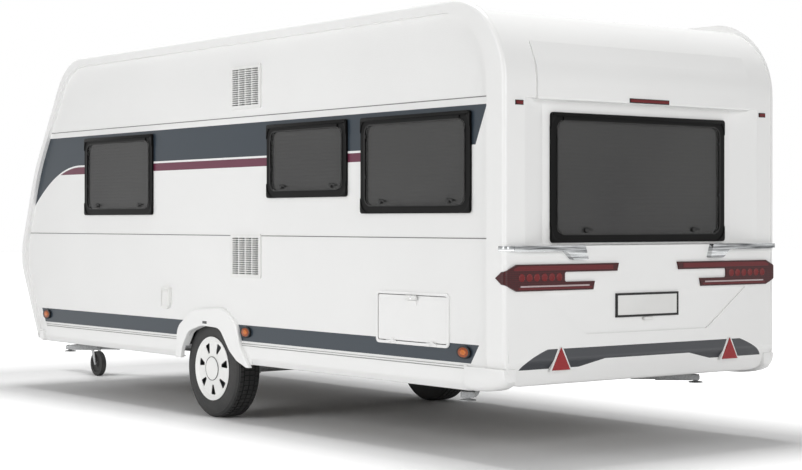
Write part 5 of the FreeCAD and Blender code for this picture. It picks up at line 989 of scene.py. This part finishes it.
def frame_corner(x, z, half_wide, half_high):
    """Tight outer corner of a window frame."""
    corner = Vector((x * half_wide, 0.0, z * half_high))
    out, down = Vector((-x, 0.0, 0.0)), Vector((0.0, 0.0, -z))

    def arc(centre, reach, steps, first, second):
        for step in range(steps + 1):
            angle = math.radians(90.0 * step / steps)
            yield centre - first * math.sin(angle) * reach - second * math.cos(angle) * reach

    places = list(arc(corner + (out + down) * CORNER_REACH, CORNER_REACH * 0.97, 6, out, down))
    places.append(corner + down * CORNER_REACH)
    places += arc(corner + (out + down) * CORNER_SMALL, CORNER_SMALL, 4, down, out)
    places.append(corner + out * CORNER_REACH)
    places = [place + Vector((0.0, -0.019, 0.0)) for place in places]
    return bevel(plate("corner", places, (0.0, 0.0185, 0.0)), 0.003, 2, 60.0)


def latch(across, level):
    """Turning latch behind the pane: a boss with a curved lever."""
    long = settings("trim").latch
    boss = rod("boss", (across, -0.008, level), (across, 0.0005, level), 0.016, 20, 0.002)
    lever = box("lever", (across - long * 0.35, -0.003, level + 0.006), (long * 0.8, 0.007, 0.011),
                turn=(0.0, math.radians(-12.0), 0.0), edge=0.003)
    return joined("latch", [boss, lever])


def lip(half_wide, half_high):
    """Rubber lip round a window's pane, drawn about its middle."""
    corners = [(x * half_wide, -0.004, z * half_high) for x, z in
               ((-1, -1), (1, -1), (1, 1), (-1, 1))]
    piece = plate("lip", rounded(corners, 0.07, 6), (0.0, 0.005, 0.0))
    inset_faces(piece, lambda centre, normal: abs(normal.y) > 0.9, 0.006)
    pick_faces(piece, lambda centre, normal:
               abs(normal.y) > 0.9 and math.hypot(centre.x, centre.z) < 0.05)
    bpy.ops.mesh.bridge_edge_loops()
    shut()
    return close_up(piece)


# Tyre's section: tread corners across the half width, those that lie in a groove, and the flank
# as shares of the half width and of the outer radius
TREAD = (-0.74, -0.47, -0.47, -0.39, -0.39, -0.04, -0.04, 0.04, 0.04, 0.39, 0.39, 0.47, 0.47, 0.74)
SUNK = (2, 3, 6, 7, 10, 11)
CROWN = 0.004           # fall of the tread at its shoulder
FLANK = ((0.86, 0.965), (0.93, 0.93), (0.945, 0.925), (0.945, 0.915), (0.93, 0.91), (0.97, 0.86),
         (1.0, 0.8), (0.99, 0.74), (0.955, 0.69), (0.93, 0.675), (0.92, 0.66), (0.86, 0.62))


class CARAVAN_OT_tyres(bpy.types.Operator):
    """Turn the road tyres, cut their tread and fit them for the plain ones"""
    bl_idname = "caravan.tyres"
    bl_label = "Road tyres"

    def execute(self, context):
        wheel = settings("wheel")
        hub, size = span("wheel_tyre_left")
        outer, half, groove = size.z / 2, size.y / 2, wheel.groove
        tread = []
        for i, y in enumerate(share * half for share in TREAD):
            tread.append((y, outer - groove if i in SUNK else outer - abs(y / half) ** 4 * CROWN))
        right = [(share * half, outer * level) for share, level in FLANK]
        right.append((0.8 * half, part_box("wheel_rim_left")[1].z - hub.z + 0.0015))
        left = [(-y, r) for y, r in reversed(right)]
        steps = wheel.tread_pitch * 4
        tyre = turned("road_tyre_left", hub, 1, left + tread + right, steps)

        def notch(centre, normal):
            place = centre - hub
            radius = math.hypot(place.x, place.z)
            if radius < outer - groove * 0.7 or abs(place.y) > 0.8 * half:
                return False
            shift = 1.5 if abs(place.y) < 0.4 * half else 0.0
            turn = math.atan2(place.z, place.x) / (2 * math.pi) * steps + shift
            return int(turn + steps) % 4 == 0

        pick_faces(tyre, notch)
        bpy.ops.mesh.extrude_region_shrink_fatten(
            TRANSFORM_OT_shrink_fatten={"value": -groove * 0.8})
        shut()
        tyres = both_sides(tyre, "wheel_left", "tyre", 30.0)
        for piece, node in zip(tyres, ("wheel_tyre_left", "wheel_tyre_right")):
            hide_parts(node)
        return {"FINISHED"}


CAP_RING = ((-0.002, 0.0862), (0.0008, 0.086), (0.0014, 0.085), (0.0014, 0.083), (0.0008, 0.082),
            (-0.002, 0.0818))
CAP_DISH = ((-0.0012, 0.0), (0.0, 0.02), (0.0012, 0.05), (0.0018, 0.074), (0.0008, 0.080),
            (-0.0012, 0.081))


class CARAVAN_OT_wheel_covers(bpy.types.Operator):
    """Fit the plain centre cap and the ring round it to each wheel cover"""
    bl_idname = "caravan.wheel_covers"
    bl_label = "Wheel cover details"

    def execute(self, context):
        hub = span("wheel_trim_left")[0]
        centre = (hub.x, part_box("wheel_trim_left")[1].y, hub.z)
        ring = turned("wheel_cap_ring_left", centre, 1, CAP_RING, 64)
        cap = turned("wheel_centre_cap_left", centre, 1, CAP_DISH, 64)
        both_sides(cap, "wheel_left", "trim")
        both_sides(ring, "wheel_left", "cap_ring")
        return {"FINISHED"}


class CARAVAN_OT_grille_backs(bpy.types.Operator):
    """Put the dark insect screens behind the fridge grilles"""
    bl_idname = "caravan.grille_backs"
    bl_label = "Grille screens"

    def execute(self, context):
        screens = []
        for low, high in loose_boxes("fridge_grilles"):
            middle, size = measure(low, high)
            screen = box("screen", (middle.x, low.y + 0.002, middle.z),
                         (size.x - 0.05, 0.002, size.z - 0.05))
            screens.append(inset_faces(screen, facing(0.0, 1.0, 0.0), 0.006, -0.0008))
        done(joined("grille_screens", screens), ROOT, "mesh")
        return {"FINISHED"}


# Rear lamps: the inner lenses' outlines and the round lights' profile and row
UPPER_LENS = ((0.30, 1.122), (0.30, 1.148), (1.05, 1.148), (1.085, 1.134), (1.085, 1.122))
LOWER_LENS = ((0.48, 1.014), (0.47, 1.0235), (1.05, 1.0235), (1.05, 1.014))
ROUND_LIGHT = ((0.0006, 0.0235), (-0.0012, 0.023), (-0.002, 0.0215), (-0.0008, 0.0195),
               (-0.0003, 0.012), (-0.0012, 0.0))
ROUND_START, ROUND_PITCH, ROUND_HEIGHT = 0.735, 0.058, 1.082


class CARAVAN_OT_tail_lamps(bpy.types.Operator):
    """Fit strips, round lights and inner lenses to the rear lamps, and rims to the markers"""
    bl_idname = "caravan.tail_lamps"
    bl_label = "Rear lamps"

    def execute(self, context):
        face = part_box("tail_lamps")[0].x
        strips, rounds, inners = [], [], []
        for side in (1, -1):
            strips.append(box("strip", (face - 0.0004, side * 0.765, 1.031), (0.0024, 0.54, 0.009),
                              edge=0.0008))
            for k in range(6):
                centre = (face, side * (ROUND_START + k * ROUND_PITCH), ROUND_HEIGHT)
                rounds.append(turned("round", centre, 0, ROUND_LIGHT, 24))
            for outline in (UPPER_LENS, LOWER_LENS):
                places = [(face + 0.0006, side * y, z) for y, z in outline]
                inners.append(plate("inner", places, (-0.0014, 0.0, 0.0)))
        done(joined("lamp_reflector_strips", strips), ROOT, "clear")
        done(joined("lamp_round_lights", rounds), ROOT, "deep")
        done(joined("lamp_inner_lenses", inners), ROOT, "inner")
        rims = []
        for low, high in loose_boxes("marker_lamps"):
            middle, size = measure(low, high)
            rims.append(box("rim", (high.x - 0.0015, middle.y, middle.z),
                            (0.003, size.y + 0.012, size.z + 0.01), edge=0.001))
        done(joined("marker_lamp_rims", rims), ROOT, "black")
        return {"FINISHED"}


# Oval side markers: name of the piece, finish, slot, length over height and profile
MARKERS = (
    ("side_marker_lenses", "amber", "side_markers", 1.62,
     ((0.0002, 0.84), (0.0010, 0.76), (0.0020, 0.5), (0.0024, 0.0))),
    ("side_marker_rings", "black", "window_frames", 1.62,
     ((-0.009, 1.07), (-0.001, 1.07), (0.0012, 1.03), (0.0012, 0.86), (0.0002, 0.8))),
    ("side_marker_prisms", "prism", "side_markers", 1.7,
     ((0.0018, 0.44), (0.0030, 0.38), (0.0034, 0.0))),
)
SEAM_DROPS = (0.0015, 0.0155)   # the two seams below a sill's top
KEDER_DROP = 0.0085
LEVEL_HEIGHT = 0.684


class CARAVAN_OT_side_fittings(bpy.types.Operator):
    """Fit the side markers, the sills' seams, rails and end pieces, and the spirit levels"""
    bl_idname = "caravan.side_fittings"
    bl_label = "Side fittings"

    def execute(self, context):
        spots = loose_boxes("side_markers")
        for name, key, slot, stretch, profile in MARKERS:
            ovals = [oval(low, high, stretch, profile) for low, high in spots]
            done(joined(name, ovals), ROOT, key)

        arch_low, arch_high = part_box("wheel_arches")
        seams, caps = [], []
        for low, high in loose_boxes("sill_profiles"):
            side, face = outer_face(low, high)
            behind = low.x < AXLE - 0.3
            start = low.x + 0.002 if behind else arch_high.x - 0.012
            end = arch_low.x + 0.118 if behind else high.x - 0.002
            for drop in SEAM_DROPS:
                seams.append(box("seam", ((start + end) / 2, face - side * 0.0012, high.z - drop),
                                 (end - start, 0.0034, 0.0035), edge=0.0008))
            depth, rise = face - side * 0.0015, high.z - KEDER_DROP
            caps.append(rod("keder", (start, depth, rise), (end, depth, rise), 0.0042, 12))
            x = low.x + 0.014 if behind else high.x - 0.014
            caps.append(box("end", (x, face - side * 0.004, high.z - 0.012), (0.03, 0.014, 0.034),
                            edge=0.004, segments=3))
            caps.append(sill_foot(low, high, side, face, behind))
        done(joined("sill_seams", seams), ROOT, "seam")
        done(joined("sill_end_pieces", caps), ROOT, "white")

        levels = [box("level", (AXLE - 0.02, side * arch_high.y - side * 0.0005, LEVEL_HEIGHT),
                      (0.058, 0.004, 0.019), edge=0.0018, segments=3) for side in (1, -1)]
        done(joined("arch_spirit_levels", levels), ROOT, "level")
        return {"FINISHED"}


def oval(low, high, stretch, profile):
    """Side marker piece turned from depths and shares of the marker's radius, then drawn long."""
    middle, size = measure(low, high)
    side, face = outer_face(low, high)
    place = Vector((middle.x - 0.008, face, middle.z - 0.002))
    line = [(side * depth, size.z / 2 * share) for depth, share in profile]
    piece = turned("oval", place, 1, line, 40)
    edit(piece)
    bpy.ops.transform.resize(value=(stretch, 1.0, 1.0), center_override=place)
    shut()
    return piece


def sill_foot(low, high, side, face, behind):
    """End piece that carries the sill up to the wheel arch."""
    arch_low, arch_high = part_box("wheel_arches")
    if behind:
        back, edge = high.x - 0.001, arch_low.x
        line = ((0.012, low.z), (0.055, low.z + 0.045), (0.118, high.z - 0.02), (0.125, high.z))
    else:
        back, edge = low.x + 0.001, arch_high.x
        line = ((-0.002, low.z), (-0.008, low.z + 0.05), (-0.016, high.z - 0.02), (-0.022, high.z))
    inner = face - side * 0.030
    line = [(back, low.z)] + [(edge + x, z) for x, z in line] + [(back, high.z)]
    foot = plate("foot", [(x, inner, z) for x, z in line], (0.0, side * 0.028, 0.0))
    return bevel(foot, 0.004)


class CARAVAN_OT_number_plate(bpy.types.Operator):
    """Fit the frame round the blank number plate and the small lamp below it"""
    bl_idname = "caravan.number_plate"
    bl_label = "Plate frame and lamp"

    def execute(self, context):
        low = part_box("number_plate")[0]
        middle, size = span("number_plate")
        depth = middle.x - 0.0005
        rim = box("plate_frame", (depth, middle.y, middle.z),
                  (size.x + 0.006, size.y + 0.012, size.z + 0.012), edge=0.002)
        inset_faces(rim, lambda centre, normal: normal.x < -0.9 and abs(centre.x - depth) > 0.002,
                    0.011, -0.004)
        done(rim, ROOT, "black")
        lamp = box("plate_lamp", (low.x - 0.004, 0.0, low.z - 0.018), (0.016, 0.075, 0.02),
                   edge=0.004, segments=3)
        inset_faces(lamp, facing(0.0, 0.0, 1.0), 0.003, -0.001)
        done(lamp, ROOT, "moulded")
        return {"FINISHED"}


# Skirt corners, x from the axle and height; both reach from SKIRT_INNER out by SKIRT_WIDE
REAR_SKIRT = ((-3.0, 0.4185), (-3.08, 0.421), (-3.16, 0.429), (-3.22, 0.442), (-3.262, 0.460),
              (-3.284, 0.486), (-3.284, 0.56))
FRONT_SKIRT = ((2.585, 0.422), (2.612, 0.434), (2.624, 0.452), (2.632, 0.5))
SKIRT_INNER, SKIRT_WIDE, SKIRT_FOOT = 1.06, 0.0905, 0.418
PAD = ((-0.5, -0.5), (0.5, -0.5), (0.08, 0.5), (-0.08, 0.5))
PAD_RIM = 0.013


class CARAVAN_OT_rear_skirt(bpy.types.Operator):
    """Fit the skirt corners at the ends of the sills and the pads under the rear reflectors"""
    bl_idname = "caravan.rear_skirt"
    bl_label = "Skirt corners and reflector pads"

    def execute(self, context):
        sill_low, sill_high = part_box("sill_profiles")
        left = skirt_corner("rear_skirt_corner_left", sill_low.x - 0.001, REAR_SKIRT)
        pick_faces(left, lambda centre, normal: False)
        shut()
        for edge in left.data.edges:
            ends = [left.data.vertices[index].co for index in edge.vertices]
            edge.select = all(place.y > 1.15 and place.z < 0.5 for place in ends)
        bpy.ops.object.mode_set(mode="EDIT")
        bpy.ops.mesh.select_mode(type="EDGE")
        bpy.ops.mesh.bevel(offset=0.042, segments=6, affect="EDGES", clamp_overlap=True)
        shut()
        both_sides(bevel(left, 0.008, 3, 60.0), ROOT, "white")
        ahead = skirt_corner("front_skirt_corner_left", sill_high.x + 0.001, FRONT_SKIRT)
        both_sides(bevel(ahead, 0.01, 4, 50.0), ROOT, "white")
        pads = []
        for low, high in loose_boxes("rear_reflectors"):
            middle, size = measure(low, high)
            places = [Vector((high.x - 0.0012, middle.y + y * (size.y + PAD_RIM * 2.6),
                              middle.z + z * (size.z + PAD_RIM))) for y, z in PAD]
            pads.append(bevel(plate("pad", rounded(places, 0.012, 4), (0.03, 0.0, 0.0)), 0.001))
        done(joined("reflector_pads", pads), ROOT, "moulded")
        return {"FINISHED"}


def skirt_corner(name, start, line):
    """Thin corner piece drawn from the end of a sill."""
    places = [(start, SKIRT_FOOT)] + [(AXLE + x, z) for x, z in line] + [(start, line[-1][1])]
    return plate(name, [Vector((x, SKIRT_INNER, z)) for x, z in places], (0.0, SKIRT_WIDE, 0.0))


class CARAVAN_OT_locks(bpy.types.Operator):
    """Fit the locks, the door handle and the inlet's lid"""
    bl_idname = "caravan.locks"
    bl_label = "Locks and handles"

    def execute(self, context):
        low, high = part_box("service_flap")
        x, z = low.x + (high.x - low.x) * 0.48, high.z - 0.012
        lock = box("service_flap_lock", (x, high.y + 0.002, z), (0.1, 0.012, 0.03), edge=0.005,
                   segments=3)
        inset_faces(lock, facing(0.0, 1.0, 0.0), 0.005, -0.002)
        done(lock, "service_flap", "moulded")
        core = rod("service_flap_cylinder", (x, high.y, z), (x, high.y + 0.0085, z), 0.008, 24,
                   0.001)
        done(core, "service_flap", "chrome")

        low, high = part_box("entrance_door")
        x, face = low.x + 0.075, low.y
        cup = box("door_handle_cup", (x, face - 0.001, 1.27), (0.085, 0.01, 0.17), edge=0.004,
                  segments=3)
        inset_faces(cup, facing(0.0, -1.0, 0.0), 0.008, -0.004)
        done(cup, "entrance_door", "black")
        grip = box("door_handle_grip", (x, face - 0.0075, 1.285), (0.046, 0.010, 0.118),
                   edge=0.0045, segments=3)
        done(grip, "entrance_door", "moulded")
        key = rod("door_lock_cylinder", (x, face - 0.003, 1.208), (x, face - 0.0095, 1.208), 0.010,
                  24, 0.001)
        done(key, "entrance_door", "chrome")

        middle = span("power_inlet")[0]
        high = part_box("power_inlet")[1]
        lid = box("inlet_lid", (middle.x, high.y + 0.0005, middle.z - 0.004), (0.104, 0.008, 0.124),
                  edge=0.0035, segments=3)
        inset_faces(lid, facing(0.0, 1.0, 0.0), 0.01, -0.0015)
        done(lid, ROOT, "moulded")
        ends = [(middle.x + across, high.y - 0.001, high.z - 0.012) for across in (-0.045, 0.045)]
        done(rod("inlet_hinge", *ends, 0.005, 16, 0.001), ROOT, "moulded")

        low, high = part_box("locker_lid")
        rims, cores = [], []
        for across in (-0.52, 0.52):
            ahead = Vector((high.x + 0.2, across, low.z + 0.09))
            place, normal = NODES["locker_lid"].closest_point_on_mesh(ahead)[1:3]
            rim_half = normal * 0.004
            rims.append(rod("rim", place - rim_half, place + rim_half, 0.026, 32, 0.002))
            cores.append(rod("core", place, place + normal * 0.006, 0.012, 24, 0.0015))
        done(joined("locker_lock_rims", rims), "locker_lid", "black")
        done(joined("locker_lock_cylinders", cores), "locker_lid", "chrome")
        return {"FINISHED"}


HANDLE_ROUND = 0.024    # radius of the body's corner under the handle
HANDLE_AHEAD = 0.050    # how far the handle runs along the side


class CARAVAN_OT_handle_ends(bpy.types.Operator):
    """Carry the grab handles round the corners of the rear"""
    bl_idname = "caravan.handle_ends"
    bl_label = "Handle ends"

    def execute(self, context):
        handle_low, handle_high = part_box("grab_handles")
        x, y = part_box("edge_mouldings")[0].x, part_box("edge_mouldings")[1].y
        centre = Vector((x + HANDLE_ROUND, y - HANDLE_ROUND, 0.0))
        low, high = handle_high.z - 0.030, handle_high.z - 0.002
        start = handle_high.y - 0.004
        inside = [Vector((x + 0.0036, start, 0.0)), Vector((x - 0.0004, centre.y - 0.004, 0.0))]
        outside = [Vector((handle_low.x + 0.002, start, 0.0))]
        for step in range(9):
            angle = math.radians(90.0 * step / 8)
            way = Vector((-math.cos(angle), math.sin(angle), 0.0))
            inside.append(centre + way * (HANDLE_ROUND + 0.0004))
            outside.append(centre + way * (HANDLE_ROUND + 0.006 + 0.014 * math.cos(angle) ** 2))
        inside.append(Vector((x + HANDLE_AHEAD, y + 0.0004, 0.0)))
        outside.append(Vector((x + HANDLE_AHEAD, y + 0.004, 0.0)))
        places = [Vector((p.x, p.y, low)) for p in inside + outside[::-1]]
        left = plate("grab_handle_end_left", places, (0.0, 0.0, high - low))
        both_sides(bevel(left, 0.0015, 2, 50.0), ROOT, "handle")
        return {"FINISHED"}


class CARAVAN_OT_roof_fittings(bpy.types.Operator):
    """Lay the ribs on the roof hatches"""
    bl_idname = "caravan.roof_fittings"
    bl_label = "Roof hatch ribs"

    def execute(self, context):
        for node, count in (("roof_hatch_lid_large", 3), ("roof_hatch_lid_small", 2)):
            low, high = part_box(node)
            middle, size = measure(low, high)
            ribs = [box("rib", (middle.x, low.y + size.y * (k + 1) / (count + 1), high.z - 0.0035),
                        (size.x * 0.78, 0.012, 0.005), edge=0.002, segments=3)
                    for k in range(count)]
            done(joined(node + "_ribs", ribs), node, "hatch")
        return {"FINISHED"}


# Steadies: the foot's profile, the side plates' outline along the leg and in height, and how far
# the plates stand from the leg's middle; then the bellows' folds and radii
FOOT = ((0.003, 0.0), (0.003, 0.014), (-0.006, 0.016), (-0.012, 0.047), (-0.018, 0.050),
        (-0.018, 0.0))
CHEEK = ((-0.070, 0.350), (0.150, 0.351), (0.222, 0.358), (0.222, 0.386), (0.060, 0.404),
         (-0.040, 0.408), (-0.070, 0.398))
CHEEK_AWAY, CHEEK_THICK, FOOT_INSET = 0.0382, 0.0045, 0.042
FOLDS, FOLD_LOW, FOLD_HIGH, BELLOWS_END = 9, 0.033, 0.040, 0.024


class CARAVAN_OT_running_gear(bpy.types.Operator):
    """Fit feet, side plates and pins to the steadies, bolts to their brackets and the bellows"""
    bl_idname = "caravan.running_gear"
    bl_label = "Steadies and bellows"

    def execute(self, context):
        for end, along in (("rear", -1), ("front", 1)):
            for hand, side in (("left", 1), ("right", -1)):
                fit_steady("steady_leg_%s_%s" % (end, hand), along, side)
        bolts = []
        for low, high in loose_boxes("steady_brackets"):
            middle, size = measure(low, high)
            for share in (-0.3, 0.3):
                x, y = middle.x + size.x * share, middle.y + size.y * share
                bolts.append(rod("bolt", (x, y, high.z - 0.011), (x, y, high.z - 0.004), 0.008, 6,
                                 0.001))
        done(joined("bracket_bolts", bolts), ROOT, "zinc")

        head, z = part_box("coupling_head")[0].x, span("coupling_head")[0].z - 0.016
        start, end = head - 0.118, head - 0.006
        profile = [(0.0, BELLOWS_END)]
        for k in range(FOLDS * 2 + 1):
            profile.append(((end - start) * k / (FOLDS * 2), FOLD_HIGH if k % 2 else FOLD_LOW))
        profile.append((end - start, BELLOWS_END))
        bellows = turned("overrun_bellows", (start, 0.0, z), 0, profile, 32)
        done(bellows, ROOT, "seal", 50.0)
        return {"FINISHED"}


def fit_steady(name, along, side):
    """Foot, side plates and pin of one corner steady."""
    low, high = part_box(name)
    x = low.x + FOOT_INSET if along < 0 else high.x - FOOT_INSET
    y = high.y - FOOT_INSET if side > 0 else low.y + FOOT_INSET
    foot = turned(name + "_foot", (x, y, low.z), 2, FOOT, 28)
    done(foot, name, "zinc")
    middle = (low + high) / 2
    way = Vector((along, side, 0.0)).normalized()
    across = Vector((-way.y, way.x, 0.0))
    cheeks = []
    for hand in (1, -1):
        places = [middle + way * u + across * hand * CHEEK_AWAY + Vector((0.0, 0.0, z - middle.z))
                  for u, z in CHEEK]
        cheeks.append(bevel(plate("cheek", places, across * hand * CHEEK_THICK), 0.0012))
    pin = middle - way * 0.035 + Vector((0.0, 0.0, 0.004))
    cheeks.append(rod("pin", pin - across * 0.05, pin + across * 0.05, 0.014, 20, 0.003))
    done(joined(name + "_cheeks", cheeks), name, "zinc")


LAMP_SIZE = 5.0


class CARAVAN_OT_stage(bpy.types.Operator):
    """Lay the floor, hang the lamps and set the camera"""
    bl_idname = "caravan.stage"
    bl_label = "Stage, lamps and camera"

    def execute(self, context):
        stage = settings("stage")
        scene = context.scene
        deselect()
        bpy.ops.mesh.primitive_plane_add(size=120.0, location=(0.0, 0.0, -0.0005))
        paint(added("stage_floor", 0.0), "stage")

        scene.world = world = bpy.data.worlds.new("Studio")
        world.use_nodes = True
        nodes, link = world.node_tree.nodes, world.node_tree.links.new
        ground, bright = nodes["Background"], nodes.new("ShaderNodeBackground")
        for item, strength in ((ground, stage.world_light), (bright, 1.0)):
            item.inputs["Color"].default_value = (1.0, 1.0, 1.0, 1.0)
            item.inputs["Strength"].default_value = strength
        path = nodes.new("ShaderNodeLightPath").outputs
        seen = path["Is Camera Ray"]
        for ray in ("Is Glossy Ray", "Is Transmission Ray"):
            either = nodes.new("ShaderNodeMath")
            either.operation = "MAXIMUM"
            link(seen, either.inputs[0])
            link(path[ray], either.inputs[1])
            seen = either.outputs[0]
        mix = nodes.new("ShaderNodeMixShader")
        for index, socket in enumerate((seen, ground.outputs[0], bright.outputs[0])):
            link(socket, mix.inputs[index])
        link(mix.outputs[0], nodes["World Output"].inputs["Surface"])

        for name, place, power in (("Top lamp", (AXLE, 0.0, 12.0), stage.top_light),
                                   ("Left softbox", (-0.5, 10.0, 3.4), stage.side_light),
                                   ("Rear softbox", (-12.5, 2.5, 3.6), stage.rear_light)):
            lamp = bpy.data.lights.new(name, "AREA")
            lamp.shape = "SQUARE"
            lamp.size = LAMP_SIZE
            lamp.energy = power
            item = bpy.data.objects.new(name, lamp)
            scene.collection.objects.link(item)
            item.location = place
            aim = Vector((AXLE, 0.0, 1.0)) - Vector(place)
            item.rotation_euler = aim.to_track_quat("-Z", "Y").to_euler()

        scene.camera = camera = bpy.data.objects.new("Camera", bpy.data.cameras.new("Camera"))
        scene.collection.objects.link(camera)
        camera.data.sensor_width = 36.0
        camera.data.lens = stage.lens
        camera.data.shift_y = stage.shift
        camera.data.clip_end = 400.0
        camera.location = (AXLE + stage.place[0], stage.place[1], stage.place[2])
        camera.rotation_euler = (math.pi / 2 + stage.tilt, 0.0, -math.pi / 2 - stage.heading)
        scene.view_settings.view_transform = "Standard"
        return {"FINISHED"}


# Panel and registration

OPERATORS = (
    CARAVAN_OT_cad_finishes, CARAVAN_OT_joint_strips, CARAVAN_OT_windows, CARAVAN_OT_tyres,
    CARAVAN_OT_wheel_covers, CARAVAN_OT_grille_backs, CARAVAN_OT_tail_lamps,
    CARAVAN_OT_side_fittings, CARAVAN_OT_rear_skirt, CARAVAN_OT_number_plate, CARAVAN_OT_locks,
    CARAVAN_OT_handle_ends, CARAVAN_OT_roof_fittings, CARAVAN_OT_running_gear, CARAVAN_OT_stage,
)


class CARAVAN_PT_panel(bpy.types.Panel):
    """Steps that finish the caravan"""
    bl_idname = "CARAVAN_PT_panel"
    bl_label = "Travel caravan"
    bl_space_type = "VIEW_3D"
    bl_region_type = "UI"
    bl_category = "Caravan"

    def draw(self, context):
        layout = self.layout
        for operator in OPERATORS:
            layout.operator(operator.bl_idname)
        for name in GROUPS:
            group = settings(name)
            column = layout.column()
            for key in group.__annotations__:
                column.prop(group, key)


CLASSES = tuple(GROUPS.values()) + OPERATORS + (CARAVAN_PT_panel,)


def register():
    for item in CLASSES:
        bpy.utils.register_class(item)
    for name, group in GROUPS.items():
        setattr(bpy.types.Scene, "caravan_" + name, bpy.props.PointerProperty(type=group))


def unregister():
    for name in GROUPS:
        delattr(bpy.types.Scene, "caravan_" + name)
    for item in reversed(CLASSES):
        bpy.utils.unregister_class(item)


def main():
    register()
    for operator in OPERATORS:
        getattr(bpy.ops.caravan, operator.bl_idname.split(".")[1])()
    deselect()


if __name__ == "__main__":
    main()
